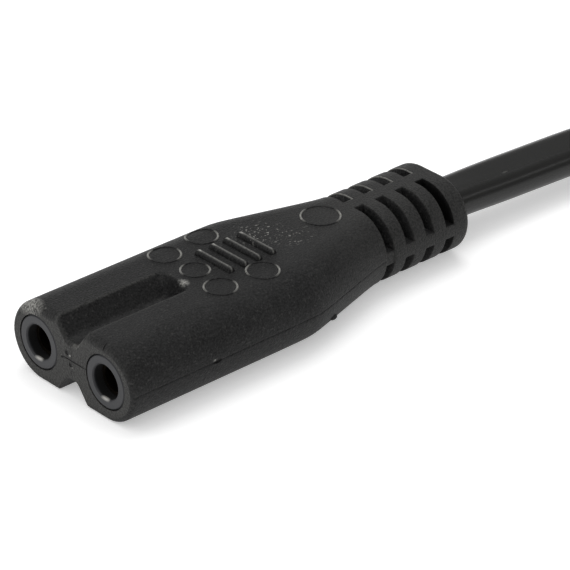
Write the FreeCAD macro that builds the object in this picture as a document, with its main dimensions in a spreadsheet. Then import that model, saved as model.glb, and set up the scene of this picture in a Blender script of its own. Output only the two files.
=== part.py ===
import FreeCAD, Part
import math
import os
import Sketcher

# Figure eight power connector moulded on a flat twin cord, with the cord's far end in a two-pin plug.
# X runs from the mating face towards the cord, Y across the two contacts, Z up from the floor.
# All lengths are millimetres.

SIZES = [
    ("pin_pitch", 8.6, "between the two contact holes"),
    ("nose_h", 7.04, "height of the nose and of the whole moulding"),
    ("nose_len", 20.5, "straight part behind the mating face"),
    ("taper_len", 10.3, "part that narrows to the strain relief"),
    ("relief_w", 9.6, "width of the strain relief"),
    ("relief_len", 10.1, "strain relief from its first slot to its rear face"),
    ("rim_round", 0.8, "rounding of the rim of the mating face"),
    ("rear_round", 0.8, "rounding of the strain relief's rear edge"),
    ("notch_top", 1.95, "half the groove's width at the surface"),
    ("notch_floor", 0.65, "half the groove's width at its floor"),
    ("notch_deep", 1.75, "depth of the groove between the lobes"),
    ("notch_len", 10.7, "groove at full depth"),
    ("notch_rise", 0.6, "sloping end of the groove"),
    ("notch_end", 1.7, "half the groove's width where its end meets the surface"),
    ("slot_w", 0.92, "width of a slot in the strain relief"),
    ("slot_pitch", 2.38, "between slots of the strain relief"),
    ("web_top", 0.7, "half the web left on top and below"),
    ("web_side", 0.65, "half the web left on each side"),
    ("relief_wall", 0.8, "sleeve left round the cord in the strain relief"),
    ("relief_core_cut", 1.2, "corner taken off that sleeve"),
    ("bar_len", 4.4, "grip bar across the body"),
    ("bar_w", 0.6, "grip bar along the body"),
    ("bar_high", 0.45, "grip bar above the surface"),
    ("bar_first", 15.45, "first grip bar behind the mating face"),
    ("bar_pitch", 1.55, "between grip bars"),
    ("bar_edge", 0.12, "bevel along a grip bar's top"),
    ("tower_r", 2.42, "carrier tower round each contact"),
    ("tower_edge", 0.14, "bevel of a tower's front edge"),
    ("carrier_past", 1.0, "carrier behind the crimp barrels"),
    ("block_len", 4.6, "length of the carrier's cross block, at its rear"),
    ("block_h", 3.6, "height of the carrier's cross block"),
    ("entry_r", 1.555, "entry hole in a tower"),
    ("entry_edge", 0.12, "bevel of an entry hole's edge"),
    ("contact_front", 1.0, "contact behind the mating face"),
    ("contact_bore", 1.22, "inner radius of a contact sleeve"),
    ("contact_wall", 0.35, "sheet of a contact sleeve"),
    ("contact_play", 0.03, "room round a contact sleeve"),
    ("contact_len", 10.5, "contact sleeve"),
    ("contact_floor", 0.7, "closed end of a contact sleeve"),
    ("contact_slit", 0.4, "slit that lets a sleeve spring"),
    ("slit_len", 7.5, "slit from the sleeve's front"),
    ("crimp_r", 1.05, "crimp barrel"),
    ("crimp_len", 5.5, "crimp barrel"),
    ("crimp_floor", 0.7, "closed end of a crimp barrel"),
    ("wire_r", 0.45, "stranded conductor"),
    ("core_r", 0.95, "insulated core"),
    ("core_pitch", 2.1, "between the cores in the cord"),
    ("cord_w", 4.7, "flat cord across"),
    ("cord_h", 2.9, "flat cord's thickness"),
    ("cord_in", 9.3, "jacket inside a strain relief"),
    ("plug_w", 35.3, "plug across"),
    ("plug_h", 13.7, "plug's thickness"),
    ("plug_len", 10.0, "straight part of the plug"),
    ("plug_taper", 20.0, "part of the plug that narrows"),
    ("tail_w", 11.0, "width of the plug's strain relief"),
    ("tail_h", 8.4, "height of the plug's strain relief"),
    ("tail_len", 12.0, "length of the plug's strain relief"),
    ("plug_rim", 0.8, "bevel of the plug's pin face"),
    ("tail_edge", 0.9, "bevel of the plug's rear edge"),
    ("tail_slot", 1.2, "slot in the plug's strain relief"),
    ("tail_pitch", 3.0, "between those slots"),
    ("tail_wall", 1.15, "sleeve left round the cord in the plug's strain relief"),
    ("prong_pitch", 18.6, "between the plug's pins"),
    ("prong_r", 2.0, "bare end of a pin"),
    ("prong_bare", 9.0, "bare end of a pin"),
    ("prong_round", 1.5, "rounding of a pin's tip"),
    ("prong_neck", 1.4, "pin inside its sleeve"),
    ("sleeve_r", 1.8, "insulating sleeve of a pin"),
    ("sleeve_len", 10.0, "insulating sleeve of a pin"),
    ("bridge_edge", 3.7, "pin bridge beyond the middle of a pin"),
    ("bridge_h", 6.4, "pin bridge's height"),
    ("bridge_len", 6.0, "pin bridge behind the pin face"),
    ("barrel_r", 1.7, "crimp barrel of a pin"),
    ("barrel_len", 6.0, "crimp barrel of a pin"),
    ("hank_at", 92.0, "middle of the hank's first fold behind the mating face"),
    ("hank_run", 41.0, "between the middles of the hank's two folds"),
    ("plug_past", 75.0, "pin face of the plug behind the middle of the hank's second fold"),
    ("fold_r", 17.1, "middle of a fold's outer turn"),
    ("turn_gap", 0.1, "between turns that lie side by side"),
    ("hank_edge", 1.2, "bevel of the hank's edges"),
    ("tie_thick", 0.6, "strap round the hank"),
    ("tie_w", 9.0, "strap along the hank"),
    ("cut_past", 1.0, "how far a cutting outline reaches past the surface that it opens"),
]

RELIEF_SLOTS = 4
PLUG_SLOTS = 3
GRIP_BARS = 4
HANK_LAYERS = 4  # cord on edge, one layer on another
HANK_SIDE_BY_SIDE = 2  # turns beside each other in one layer
ARC_SHARE = 0.45  # share of the shorter run that a rounded corner of a route takes
FLAT = 1e-4  # what counts as lying in a plane


class Size:
    """A length together with the sheet formula that it comes from."""

    def __init__(self, value, formula):
        self.value = value
        self.formula = formula

    def joined(self, sign, other, value):
        return Size(value, "(%s %s %s)" % (self.formula, sign, getattr(other, "formula", other)))

    def __add__(self, other):
        return self.joined("+", other, self.value + getattr(other, "value", other))

    def __sub__(self, other):
        return self.joined("-", other, self.value - getattr(other, "value", other))

    def __mul__(self, other):
        return self.joined("*", other, self.value * getattr(other, "value", other))

    def __truediv__(self, other):
        return self.joined("/", other, self.value / getattr(other, "value", other))

    def __neg__(self):
        return Size(-self.value, "(-1 * %s)" % self.formula)


doc = FreeCAD.newDocument("figure_eight_lead")
sheet = doc.addObject("Spreadsheet::Sheet", "sizes")
S = {}
for row, (name, size, note) in enumerate(SIZES, start=1):
    sheet.set("A%d" % row, name)
    sheet.set("B%d" % row, str(size))
    sheet.setAlias("B%d" % row, name)
    sheet.set("C%d" % row, note)
    S[name] = Size(size, "sizes." + name)
doc.recompute()
ZERO = S["nose_h"] * 0

# Places in the shared frame: the connector's middle is at the origin and the floor is at height nought.
OVERALL = S["nose_len"] + S["taper_len"] + S["relief_len"]
FACE_X = -(OVERALL / 2)
AXIS_Z = S["nose_h"] / 2
NOSE_W = S["pin_pitch"] + S["nose_h"]
SLEEVE_END = S["contact_front"] + S["contact_len"]
CRIMP_END = SLEEVE_END + S["crimp_len"]
CARRIER_LEN = CRIMP_END + S["carrier_past"]
BARREL_END = S["bridge_len"] + S["barrel_len"]
FAR_FOLD = S["hank_at"] + S["hank_run"]
PLUG_AT = FAR_FOLD + S["plug_past"]
PLUG_X = FACE_X + PLUG_AT
PLUG_Z = S["plug_h"] / 2
PLUG_ALL = S["plug_len"] + S["plug_taper"] + S["tail_len"]


def place(thing, x, y, z, turned=False):
    """Puts a body or solid at its place in the shared frame; turned means facing the other way along X."""
    if turned:
        half_turn = FreeCAD.Rotation(FreeCAD.Vector(0, 0, 1), 180)
        thing.Placement = FreeCAD.Placement(FreeCAD.Vector(0, 0, 0), half_turn)
    thing.setExpression("Placement.Base.x", x.formula)
    thing.setExpression("Placement.Base.y", y.formula)
    thing.setExpression("Placement.Base.z", z.formula)


def new_body(name, plug=False):
    body = doc.addObject("PartDesign::Body", name)
    body.Label = name
    if plug:
        place(body, PLUG_X, ZERO, PLUG_Z, turned=True)
    else:
        place(body, FACE_X, ZERO, AXIS_Z)
    return body


def origin_part(body, role):
    return [f for f in body.Origin.OriginFeatures if f.Role == role][0]


def new_sketch(body, name, role="YZ_Plane", shift=None):
    """Empty sketch on one of the body's own origin planes, moved along the plane's normal."""
    sketch = body.newObject("Sketcher::SketchObject", name)
    sketch.AttachmentSupport = [(origin_part(body, role), "")]
    sketch.MapMode = "FlatFace"
    if shift is not None:
        sketch.setExpression("AttachmentOffset.Base.z", shift.formula)
    return sketch


def bind(sketch, constraint, size):
    index = sketch.addConstraint(constraint)
    sketch.setExpression("Constraints[%d]" % index, size.formula)


def pin_point(sketch, geo, point, x, y):
    """Holds one point of the sketch at x, y from the sketch's origin."""
    for kind, axis, size in (("DistanceX", -2, x), ("DistanceY", -1, y)):
        if abs(size.value) < FLAT:
            sketch.addConstraint(Sketcher.Constraint("PointOnObject", geo, point, axis))
        elif size.value > 0:
            bind(sketch, Sketcher.Constraint(kind, -1, 1, geo, point, size.value), size)
        else:
            bind(sketch, Sketcher.Constraint(kind, geo, point, -1, 1, -size.value), -size)


def polygon(sketch, corners):
    first = sketch.GeometryCount
    count = len(corners)
    for i in range(count):
        ends = [FreeCAD.Vector(c[0].value, c[1].value, 0) for c in (corners[i], corners[(i + 1) % count])]
        sketch.addGeometry(Part.LineSegment(*ends), False)
    for i in range(count):
        sketch.addConstraint(Sketcher.Constraint("Coincident", first + i, 2, first + (i + 1) % count, 1))
    for i in range(count):
        pin_point(sketch, first + i, 1, *corners[i])


def circle(sketch, x, radius):
    middle = FreeCAD.Vector(x.value, 0, 0)
    geo = sketch.addGeometry(Part.Circle(middle, FreeCAD.Vector(0, 0, 1), radius.value), False)
    pin_point(sketch, geo, 3, x, ZERO)
    bind(sketch, Sketcher.Constraint("Radius", geo, radius.value), radius)


def stadium(sketch, width, height):
    """Flat oval: two straight edges joined by half circles."""
    radius = height / 2
    side = width / 2 - radius
    r, k = radius.value, side.value
    up = FreeCAD.Vector(0, 0, 1)
    right = Part.Circle(FreeCAD.Vector(k, 0, 0), up, r)
    left = Part.Circle(FreeCAD.Vector(-k, 0, 0), up, r)
    sketch.addGeometry(Part.ArcOfCircle(right, -math.pi / 2, math.pi / 2), False)
    sketch.addGeometry(Part.LineSegment(FreeCAD.Vector(k, r, 0), FreeCAD.Vector(-k, r, 0)), False)
    sketch.addGeometry(Part.ArcOfCircle(left, math.pi / 2, 3 * math.pi / 2), False)
    sketch.addGeometry(Part.LineSegment(FreeCAD.Vector(-k, -r, 0), FreeCAD.Vector(k, -r, 0)), False)
    for i in range(4):
        sketch.addConstraint(Sketcher.Constraint("Tangent", i, 2, (i + 1) % 4, 1))
    pin_point(sketch, 0, 3, side, ZERO)
    pin_point(sketch, 2, 3, -side, ZERO)
    bind(sketch, Sketcher.Constraint("Radius", 0, r), radius)


def pad(body, sketch, name, length, reverse=False):
    feature = body.newObject("PartDesign::Pad", name)
    feature.Profile = sketch
    feature.Reversed = reverse
    feature.setExpression("Length", length.formula)
    sketch.Visibility = False
    doc.recompute()
    return feature


def pocket(body, sketch, name, length, reverse=False):
    """Cuts the sketch's outline along +X, or along -X when reversed."""
    feature = body.newObject("PartDesign::Pocket", name)
    feature.Profile = sketch
    feature.Reversed = not reverse
    feature.setExpression("Length", length.formula)
    doc.recompute()
    return feature


def round_edges(body, base, name, test, radius, kind="Fillet"):
    """Rounds or bevels the edges of the body so far whose middle passes the test."""
    names = []
    for i, edge in enumerate(base.Shape.Edges, start=1):
        if test(edge):
            names.append("Edge%d" % i)
    feature = body.newObject("PartDesign::" + kind, name)
    feature.Base = (base, names)
    feature.setExpression("Radius" if kind == "Fillet" else "Size", radius.formula)
    doc.recompute()
    return feature


def row_of(body, feature, name, axis, pitch, count):
    pattern = body.newObject("PartDesign::LinearPattern", name)
    pattern.Originals = [feature]
    pattern.Direction = (origin_part(body, axis), [""])
    pattern.setExpression("Length", (pitch * (count - 1)).formula)
    pattern.Occurrences = count
    body.Tip = pattern
    doc.recompute()
    return pattern


def flat_at(edge, axis, at):
    """True for an edge that lies wholly in the plane where the given axis equals at."""
    box = edge.BoundBox
    low, high = (box.XMin, box.XMax) if axis == "X" else (box.ZMin, box.ZMax)
    return abs(low - at) < FLAT and abs(high - at) < FLAT


def moulding(name, plug, width, height, straight, taper, tail, tail_size, rims, edge="Fillet"):
    """Outer form shared by connector and plug: flat oval, tapering to a smaller oval strain relief."""
    body = new_body(name, plug)
    tail_w, tail_h = tail_size
    start = new_sketch(body, name + "_face")
    stadium(start, width, height)
    pad(body, start, name + "_straight", straight)
    wide = new_sketch(body, name + "_wide", shift=straight)
    stadium(wide, width, height)
    narrow = new_sketch(body, name + "_narrow", shift=straight + taper)
    stadium(narrow, tail_w, tail_h)
    loft = body.newObject("PartDesign::AdditiveLoft", name + "_taper")
    loft.Profile = wide
    loft.Sections = [narrow]
    loft.Ruled = True
    doc.recompute()
    rear = new_sketch(body, name + "_relief", shift=straight + taper)
    stadium(rear, tail_w, tail_h)
    last = pad(body, rear, name + "_relief_pad", tail)
    end = (straight + taper + tail).value
    last = round_edges(body, last, name + "_rear_round", lambda e: flat_at(e, "X", end), rims[1], edge)
    round_edges(body, last, name + "_rim_round", lambda e: flat_at(e, "X", 0), rims[0], edge)
    return body


def relief_slots(body, name, start, outer, core, webs, cut, width, pitch, count):
    """Rows of four slots round the strain relief; webs stay on top, below and on both sides."""
    sketch = new_sketch(body, name + "_slots", shift=start)
    reach_y = outer[0] / 2 + S["cut_past"]
    reach_z = outer[1] / 2 + S["cut_past"]
    core_y, core_z = core[0] / 2, core[1] / 2
    for right in (True, False):
        for upper in (True, False):
            corners = [
                (webs[0], core_z),
                (core_y - cut, core_z),
                (core_y, core_z - cut),
                (core_y, webs[1]),
                (reach_y, webs[1]),
                (reach_y, reach_z),
                (webs[0], reach_z),
            ]
            polygon(sketch, [(y if right else -y, z if upper else -z) for y, z in corners])
    slot = pocket(body, sketch, name + "_slot", width)
    return row_of(body, slot, name + "_slot_row", "X_Axis", pitch, count)


def cord_sleeve(wall):
    """Width and height of the sleeve that a strain relief leaves round the cord."""
    return S["cord_w"] + wall * 2, S["cord_h"] + wall * 2


# Connector's outer moulding
housing = moulding(
    "housing_form", False, NOSE_W, S["nose_h"], S["nose_len"], S["taper_len"], S["relief_len"],
    (S["relief_w"], S["nose_h"]), (S["rim_round"], S["rear_round"]),
)
half_h = S["nose_h"] / 2


def notch_outline(sketch, top, floor, deep):
    sky = half_h + S["cut_past"]
    bottom = half_h - deep
    right = [(top, sky), (top, half_h), (floor, bottom)]
    left = [(-y, z) for y, z in reversed(right)]
    polygon(sketch, right + left)


front = new_sketch(housing, "notch_front")
notch_outline(front, S["notch_top"], S["notch_floor"], S["notch_deep"])
notch = pocket(housing, front, "notch", S["notch_len"])
deep = new_sketch(housing, "notch_deep_end", shift=S["notch_len"])
notch_outline(deep, S["notch_top"], S["notch_floor"], S["notch_deep"])
shallow = new_sketch(housing, "notch_shallow_end", shift=S["notch_len"] + S["notch_rise"])
notch_outline(shallow, S["notch_end"], S["notch_floor"], S["notch_deep"] / 10)
rise = housing.newObject("PartDesign::SubtractiveLoft", "notch_rise_cut")
rise.Profile = deep
rise.Sections = [shallow]
rise.Ruled = True
doc.recompute()
both = housing.newObject("PartDesign::Mirrored", "notch_below")
both.Originals = [notch, rise]
both.MirrorPlane = (origin_part(housing, "XY_Plane"), [""])
housing.Tip = both
doc.recompute()

relief_slots(
    housing, "relief", S["nose_len"] + S["taper_len"], (S["relief_w"], S["nose_h"]),
    cord_sleeve(S["relief_wall"]), (S["web_top"], S["web_side"]), S["relief_core_cut"],
    S["slot_w"], S["slot_pitch"], RELIEF_SLOTS,
)

bar_plan = new_sketch(housing, "bar_plan", role="XY_Plane", shift=half_h)
bar_y = S["bar_len"] / 2
bar_x = S["bar_first"] - S["bar_w"] / 2
bar_end = bar_x + S["bar_w"]
polygon(bar_plan, [(bar_x, -bar_y), (bar_end, -bar_y), (bar_end, bar_y), (bar_x, bar_y)])
bar = pad(housing, bar_plan, "grip_bar", S["bar_high"])
bars = row_of(housing, bar, "grip_bars", "X_Axis", S["bar_pitch"], GRIP_BARS)
bar_top = (half_h + S["bar_high"]).value
round_edges(housing, bars, "grip_bar_edges", lambda e: flat_at(e, "Z", bar_top), S["bar_edge"], "Chamfer")


def rod(name, x, y, radius, length, plug=False):
    """Plain round rod along X, used for holes and for what the moulding flows round."""
    thing = doc.addObject("Part::Cylinder", name)
    turn = FreeCAD.Rotation(FreeCAD.Vector(0, 1, 0), -90 if plug else 90)
    thing.Placement = FreeCAD.Placement(FreeCAD.Vector(0, 0, 0), turn)
    thing.setExpression("Radius", radius.formula)
    thing.setExpression("Height", length.formula)
    along = PLUG_X - x if plug else FACE_X + x
    place(thing, along, y, PLUG_Z if plug else AXIS_Z)
    return thing


# Contact carrier: two towers joined by a cross block, each tower bored for one contact
carrier = new_body("contact_carrier")
half_pitch = S["pin_pitch"] / 2
towers = new_sketch(carrier, "tower_rounds")
circle(towers, half_pitch, S["tower_r"])
circle(towers, -half_pitch, S["tower_r"])
pad(carrier, towers, "towers", CARRIER_LEN)
block_from = CARRIER_LEN - S["block_len"]
block_plan = new_sketch(carrier, "block_section", shift=block_from)
block_z = S["block_h"] / 2
polygon(
    block_plan,
    [(-half_pitch, -block_z), (half_pitch, -block_z), (half_pitch, block_z), (-half_pitch, block_z)],
)
block = pad(carrier, block_plan, "cross_block", S["block_len"])
round_edges(carrier, block, "tower_edges", lambda e: flat_at(e, "X", 0), S["tower_edge"], "Chamfer")
contact_r = S["contact_bore"] + S["contact_wall"]
entry = new_sketch(carrier, "entry_holes")
circle(entry, half_pitch, S["entry_r"])
circle(entry, -half_pitch, S["entry_r"])
entries = pocket(carrier, entry, "entries", S["contact_front"])
entry_round = 2 * math.pi * S["entry_r"].value
round_edges(
    carrier, entries, "entry_edges",
    lambda e: flat_at(e, "X", 0) and abs(e.Length - entry_round) < FLAT, S["entry_edge"], "Chamfer",
)
chamber = new_sketch(carrier, "chamber_holes", shift=S["contact_front"])
circle(chamber, half_pitch, contact_r + S["contact_play"])
circle(chamber, -half_pitch, contact_r + S["contact_play"])
pocket(carrier, chamber, "chambers", CARRIER_LEN)


def contact(name, y):
    """Rolled contact: sprung sleeve with a slit on top, closed web, then a crimp barrel."""
    body = new_body(name)
    ring = new_sketch(body, name + "_round", shift=S["contact_front"])
    circle(ring, y, contact_r)
    pad(body, ring, name + "_sleeve", S["contact_len"])
    barrel = new_sketch(body, name + "_barrel_round", shift=SLEEVE_END)
    circle(barrel, y, S["crimp_r"])
    pad(body, barrel, name + "_barrel", S["crimp_len"])
    bore = new_sketch(body, name + "_bore_round", shift=S["contact_front"])
    circle(bore, y, S["contact_bore"])
    pocket(body, bore, name + "_bore", S["contact_len"] - S["contact_floor"])
    hole = new_sketch(body, name + "_wire_round", shift=SLEEVE_END + S["crimp_floor"])
    circle(hole, y, S["wire_r"])
    pocket(body, hole, name + "_wire_hole", S["crimp_len"])
    slit = new_sketch(body, name + "_slit_section", shift=S["contact_front"])
    side = S["contact_slit"] / 2
    top = contact_r + S["cut_past"]
    polygon(slit, [(y - side, ZERO), (y + side, ZERO), (y + side, top), (y - side, top)])
    pocket(body, slit, name + "_slit", S["slit_len"])
    return body


contact_left = contact("contact_left", half_pitch)
contact_right = contact("contact_right", -half_pitch)


def fan(name, radius, ys, places, plug=False):
    """Round core or wire: straight from the first place to the second, then slanting to the third."""
    body = new_body(name, plug)
    start, bend, end = places
    if bend.value > start.value:
        root = new_sketch(body, name + "_root", shift=start)
        circle(root, ys[0], radius)
        pad(body, root, name + "_straight", bend - start)
    near = new_sketch(body, name + "_near", shift=bend)
    circle(near, ys[0], radius)
    far = new_sketch(body, name + "_far", shift=end)
    circle(far, ys[1], radius)
    loft = body.newObject("PartDesign::AdditiveLoft", name + "_slant")
    loft.Profile = near
    loft.Sections = [far]
    loft.Ruled = True
    doc.recompute()
    return body


# Cores and conductors of the connector, from each crimp barrel to the end of the cord's jacket
JACKET = OVERALL - S["cord_in"]
WIRE_START = SLEEVE_END + S["crimp_floor"]
conductors = {}
core_blanks = {}
for side, sign in (("left", 1), ("right", -1)):
    ys = (half_pitch * sign, S["core_pitch"] / 2 * sign)
    conductors[side] = fan("conductor_" + side, S["wire_r"], ys, (WIRE_START, CRIMP_END, JACKET))
    core_blanks[side] = fan("core_blank_" + side, S["core_r"], ys, (CRIMP_END, CRIMP_END, JACKET))


def mm(name):
    return S[name].value


def flat_oval(width, height):
    """Outline of a flat cord, across the X axis."""
    r, k = height / 2, width / 2 - height / 2
    places = ((k, -r), (k + r, 0), (k, r), (-k, r), (-k - r, 0), (-k, -r))
    corners = [FreeCAD.Vector(0, y, z) for y, z in places]
    return Part.Wire([
        Part.Arc(corners[0], corners[1], corners[2]).toShape(),
        Part.LineSegment(corners[2], corners[3]).toShape(),
        Part.Arc(corners[3], corners[4], corners[5]).toShape(),
        Part.LineSegment(corners[5], corners[0]).toShape(),
    ])


def cord_stretch(points, height, label):
    """Flat cord along a level route: straight runs are drawn out and corners turned about their centres."""
    pts = [FreeCAD.Vector(FACE_X.value + x, y, height) for x, y in points]
    across = Part.Face(flat_oval(mm("cord_w"), mm("cord_h")))
    pieces, length, least, here = [], 0.0, math.inf, pts[0]

    def section(at, along):
        face = across.copy()
        face.Placement = FreeCAD.Placement(at, FreeCAD.Rotation(FreeCAD.Vector(1, 0, 0), along))
        return face

    for before, corner, after in zip(pts, pts[1:], pts[2:]):
        inward, outward = corner - before, after - corner
        reach = ARC_SHARE * min(inward.Length, outward.Length)
        turn = math.atan2(inward.cross(outward).z, inward.dot(outward))
        radius = reach / math.tan(abs(turn) / 2)
        inward.normalize()
        outward.normalize()
        start = corner - inward * reach
        pieces.append(section(here, inward).extrude(start - here))
        upright = FreeCAD.Vector(0, 0, math.copysign(1, turn))
        centre = start + upright.cross(inward) * radius
        pieces.append(section(start, inward).revolve(centre, upright, math.degrees(abs(turn))))
        length += (start - here).Length + radius * abs(turn)
        least = min(least, radius)
        here = corner + outward * reach
    pieces.append(section(here, outward).extrude(pts[-1] - here))
    length += (pts[-1] - here).Length
    solid = pieces[0].multiFuse(pieces[1:]).removeSplitter()
    found = (label, length, least, solid.Volume, across.Area * length)
    print("%s: length %.1f, least radius %.1f, volume %.1f of %.1f" % found)
    return solid


def feature(name, shape):
    thing = doc.addObject("Part::Feature", name)
    thing.Label = name
    thing.Shape = shape
    return thing


# Uncoiled stretches of the cord, as places behind the mating face and across, with one end in the hank
TAIL_START = (PLUG_AT - PLUG_ALL).value
LEAD = [
    (JACKET.value, 0.0),
    (OVERALL.value + 16.5, 0.0),
    (mm("hank_at") - 8.5, -13.2),
]
TAIL = [
    (FAR_FOLD.value - 1.0, -15.2),
    (FAR_FOLD.value + 10.5, -14.2),
    (TAIL_START - 8.0, 0.0),
    (TAIL_START + mm("cord_in"), 0.0),
]
lead = cord_stretch(LEAD, AXIS_Z.value, "lead")
tail = cord_stretch(TAIL, PLUG_Z.value, "tail")

# Hank: turns fill the folds from the outside inwards, and the two legs lie together under the tie
HANK_R = S["fold_r"] + S["cord_h"] / 2
HANK_HIGH = S["cord_w"] * HANK_LAYERS
HANK_WAIST = (S["cord_h"] + S["turn_gap"]) * HANK_SIDE_BY_SIDE


def hank_solid():
    """Outer form of the tied hank: round folds at both ends, drawn in at the waist under the tie."""
    near = (FACE_X + S["hank_at"]).value
    far = (FACE_X + FAR_FOLD).value
    middle = (near + far) / 2
    r, waist = HANK_R.value, HANK_WAIST.value
    quarter = mm("hank_run") / 4
    half_drop = (r - waist) / 2
    bend = (quarter ** 2 + half_drop ** 2) / (2 * half_drop)
    swing = math.asin(quarter / bend) / 2
    dx, dy = bend * math.sin(swing), bend * (1 - math.cos(swing))

    def arc(a, b, c):
        return Part.Arc(*[FreeCAD.Vector(x, y, 0) for x, y in (a, b, c)]).toShape()

    edges = [arc((near, r), (near - r, 0), (near, -r)), arc((far, -r), (far + r, 0), (far, r))]
    for side in (1, -1):
        for end, way in ((near, 1), (far, -1)):
            between = (end + way * quarter, side * (r - half_drop))
            edges.append(arc((end, side * r), (end + way * dx, side * (r - dy)), between))
            edges.append(arc(between, (middle - way * dx, side * (waist + dy)), (middle, side * waist)))
    outline = Part.Wire(Part.__sortEdges__(edges))
    solid = Part.Face(outline).extrude(FreeCAD.Vector(0, 0, HANK_HIGH.value))
    rims = [e for e in solid.Edges if e.BoundBox.ZLength < FLAT]
    solid = solid.makeChamfer(mm("hank_edge"), rims)
    solid.translate(FreeCAD.Vector(0, 0, mm("tie_thick")))
    return solid


hank = feature("cord_hank", hank_solid())
lead_blank = feature("lead_blank", lead)
tail_blank = feature("tail_blank", tail)


def cut(name, base, tools):
    """Solid left of base after the tools are taken out of it."""
    if len(tools) > 1:
        tool = doc.addObject("Part::MultiFuse", name + "_taken_out")
        tool.Shapes = tools
    else:
        tool = tools[0]
    thing = doc.addObject("Part::Cut", name)
    thing.Label = name
    thing.Base = base
    thing.Tool = tool
    return thing


cord_lead = cut("cord_lead", lead_blank, [hank])
cord_tail = cut("cord_tail", tail_blank, [hank])

strap = doc.addObject("Part::Box", "strap_block")
strap.setExpression("Length", S["tie_w"].formula)
strap.setExpression("Width", ((HANK_WAIST + S["tie_thick"]) * 2).formula)
strap.setExpression("Height", (HANK_HIGH + S["tie_thick"] * 2).formula)
strap_x = FACE_X + S["hank_at"] + S["hank_run"] / 2 - S["tie_w"] / 2
place(strap, strap_x, -(HANK_WAIST + S["tie_thick"]), ZERO)
opening = doc.addObject("Part::Box", "strap_opening")
opening.setExpression("Length", S["tie_w"].formula)
opening.setExpression("Width", (HANK_WAIST * 2).formula)
opening.setExpression("Height", HANK_HIGH.formula)
place(opening, strap_x, -HANK_WAIST, S["tie_thick"])
cord_tie = cut("cord_tie", strap, [opening, hank])

# Connector's moulding flows round the carrier, the cores and the cord's jacket
flow = [
    rod("tower_left_space", ZERO, half_pitch, S["tower_r"], CARRIER_LEN),
    rod("tower_right_space", ZERO, -half_pitch, S["tower_r"], CARRIER_LEN),
]
block_space = doc.addObject("Part::Box", "block_space")
block_space.setExpression("Length", S["block_len"].formula)
block_space.setExpression("Width", S["pin_pitch"].formula)
block_space.setExpression("Height", S["block_h"].formula)
place(block_space, FACE_X + block_from, -half_pitch, AXIS_Z - block_z)
flow.append(block_space)
for side in ("left", "right"):
    flow.append(core_blanks[side])
flow.append(lead_blank)
connector_overmould = cut("connector_overmould", housing, flow)
core_left = cut("core_insulation_left", core_blanks["left"], [conductors["left"]])
core_right = cut("core_insulation_right", core_blanks["right"], [conductors["right"]])

# Plug at the far end: moulded body, pin bridge, two sleeved pins and their cores
plug_form = moulding(
    "plug_form", True, S["plug_w"], S["plug_h"], S["plug_len"], S["plug_taper"], S["tail_len"],
    (S["tail_w"], S["tail_h"]), (S["plug_rim"], S["tail_edge"]), edge="Chamfer",
)
relief_slots(
    plug_form, "plug_relief", S["plug_len"] + S["plug_taper"], (S["tail_w"], S["tail_h"]),
    cord_sleeve(S["tail_wall"]), (S["web_top"], S["web_side"]), S["relief_core_cut"],
    S["tail_slot"], S["tail_pitch"], PLUG_SLOTS,
)
half_prong = S["prong_pitch"] / 2
bridge_form = new_body("bridge_form", plug=True)
bridge_section = new_sketch(bridge_form, "bridge_section")
stadium(bridge_section, S["prong_pitch"] + S["bridge_edge"] * 2, S["bridge_h"])
pad(bridge_form, bridge_section, "bridge_block", S["bridge_len"])


def plug_pin(name, y):
    """Turned pin: bare round end, thinner neck inside the sleeve and the bridge, then a crimp barrel."""
    body = new_body(name, plug=True)
    tip = -(S["sleeve_len"] + S["prong_bare"])
    bare = new_sketch(body, name + "_bare_round", shift=tip)
    circle(bare, y, S["prong_r"])
    shank = pad(body, bare, name + "_bare", S["prong_bare"])
    tip_x = tip.value
    round_edges(body, shank, name + "_tip", lambda e: flat_at(e, "X", tip_x), S["prong_round"])
    neck = new_sketch(body, name + "_neck_round", shift=-S["sleeve_len"])
    circle(neck, y, S["prong_neck"])
    pad(body, neck, name + "_neck", S["sleeve_len"] + S["bridge_len"])
    barrel = new_sketch(body, name + "_barrel_round", shift=S["bridge_len"])
    circle(barrel, y, S["barrel_r"])
    pad(body, barrel, name + "_barrel", S["barrel_len"])
    hole = new_sketch(body, name + "_wire_round", shift=S["bridge_len"] + S["crimp_floor"])
    circle(hole, y, S["wire_r"])
    pocket(body, hole, name + "_wire_hole", S["barrel_len"])
    return body


def pin_sleeve(name, y):
    body = new_body(name, plug=True)
    outside = new_sketch(body, name + "_round", shift=-S["sleeve_len"])
    circle(outside, y, S["sleeve_r"])
    pad(body, outside, name + "_tube", S["sleeve_len"])
    inside = new_sketch(body, name + "_bore_round", shift=-S["sleeve_len"])
    circle(inside, y, S["prong_neck"])
    pocket(body, inside, name + "_bore", S["sleeve_len"])
    return body


pins = {"left": plug_pin("pin_left", half_prong), "right": plug_pin("pin_right", -half_prong)}
sleeves = {
    "left": pin_sleeve("pin_sleeve_left", half_prong),
    "right": pin_sleeve("pin_sleeve_right", -half_prong),
}
necks = [
    rod("neck_left_space", ZERO, half_prong, S["prong_neck"], S["bridge_len"], plug=True),
    rod("neck_right_space", ZERO, -half_prong, S["prong_neck"], S["bridge_len"], plug=True),
]
plug_bridge = cut("plug_bridge", bridge_form, necks)
barrels = [
    rod("barrel_left_space", S["bridge_len"], half_prong, S["barrel_r"], S["barrel_len"], plug=True),
    rod("barrel_right_space", S["bridge_len"], -half_prong, S["barrel_r"], S["barrel_len"], plug=True),
]

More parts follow.
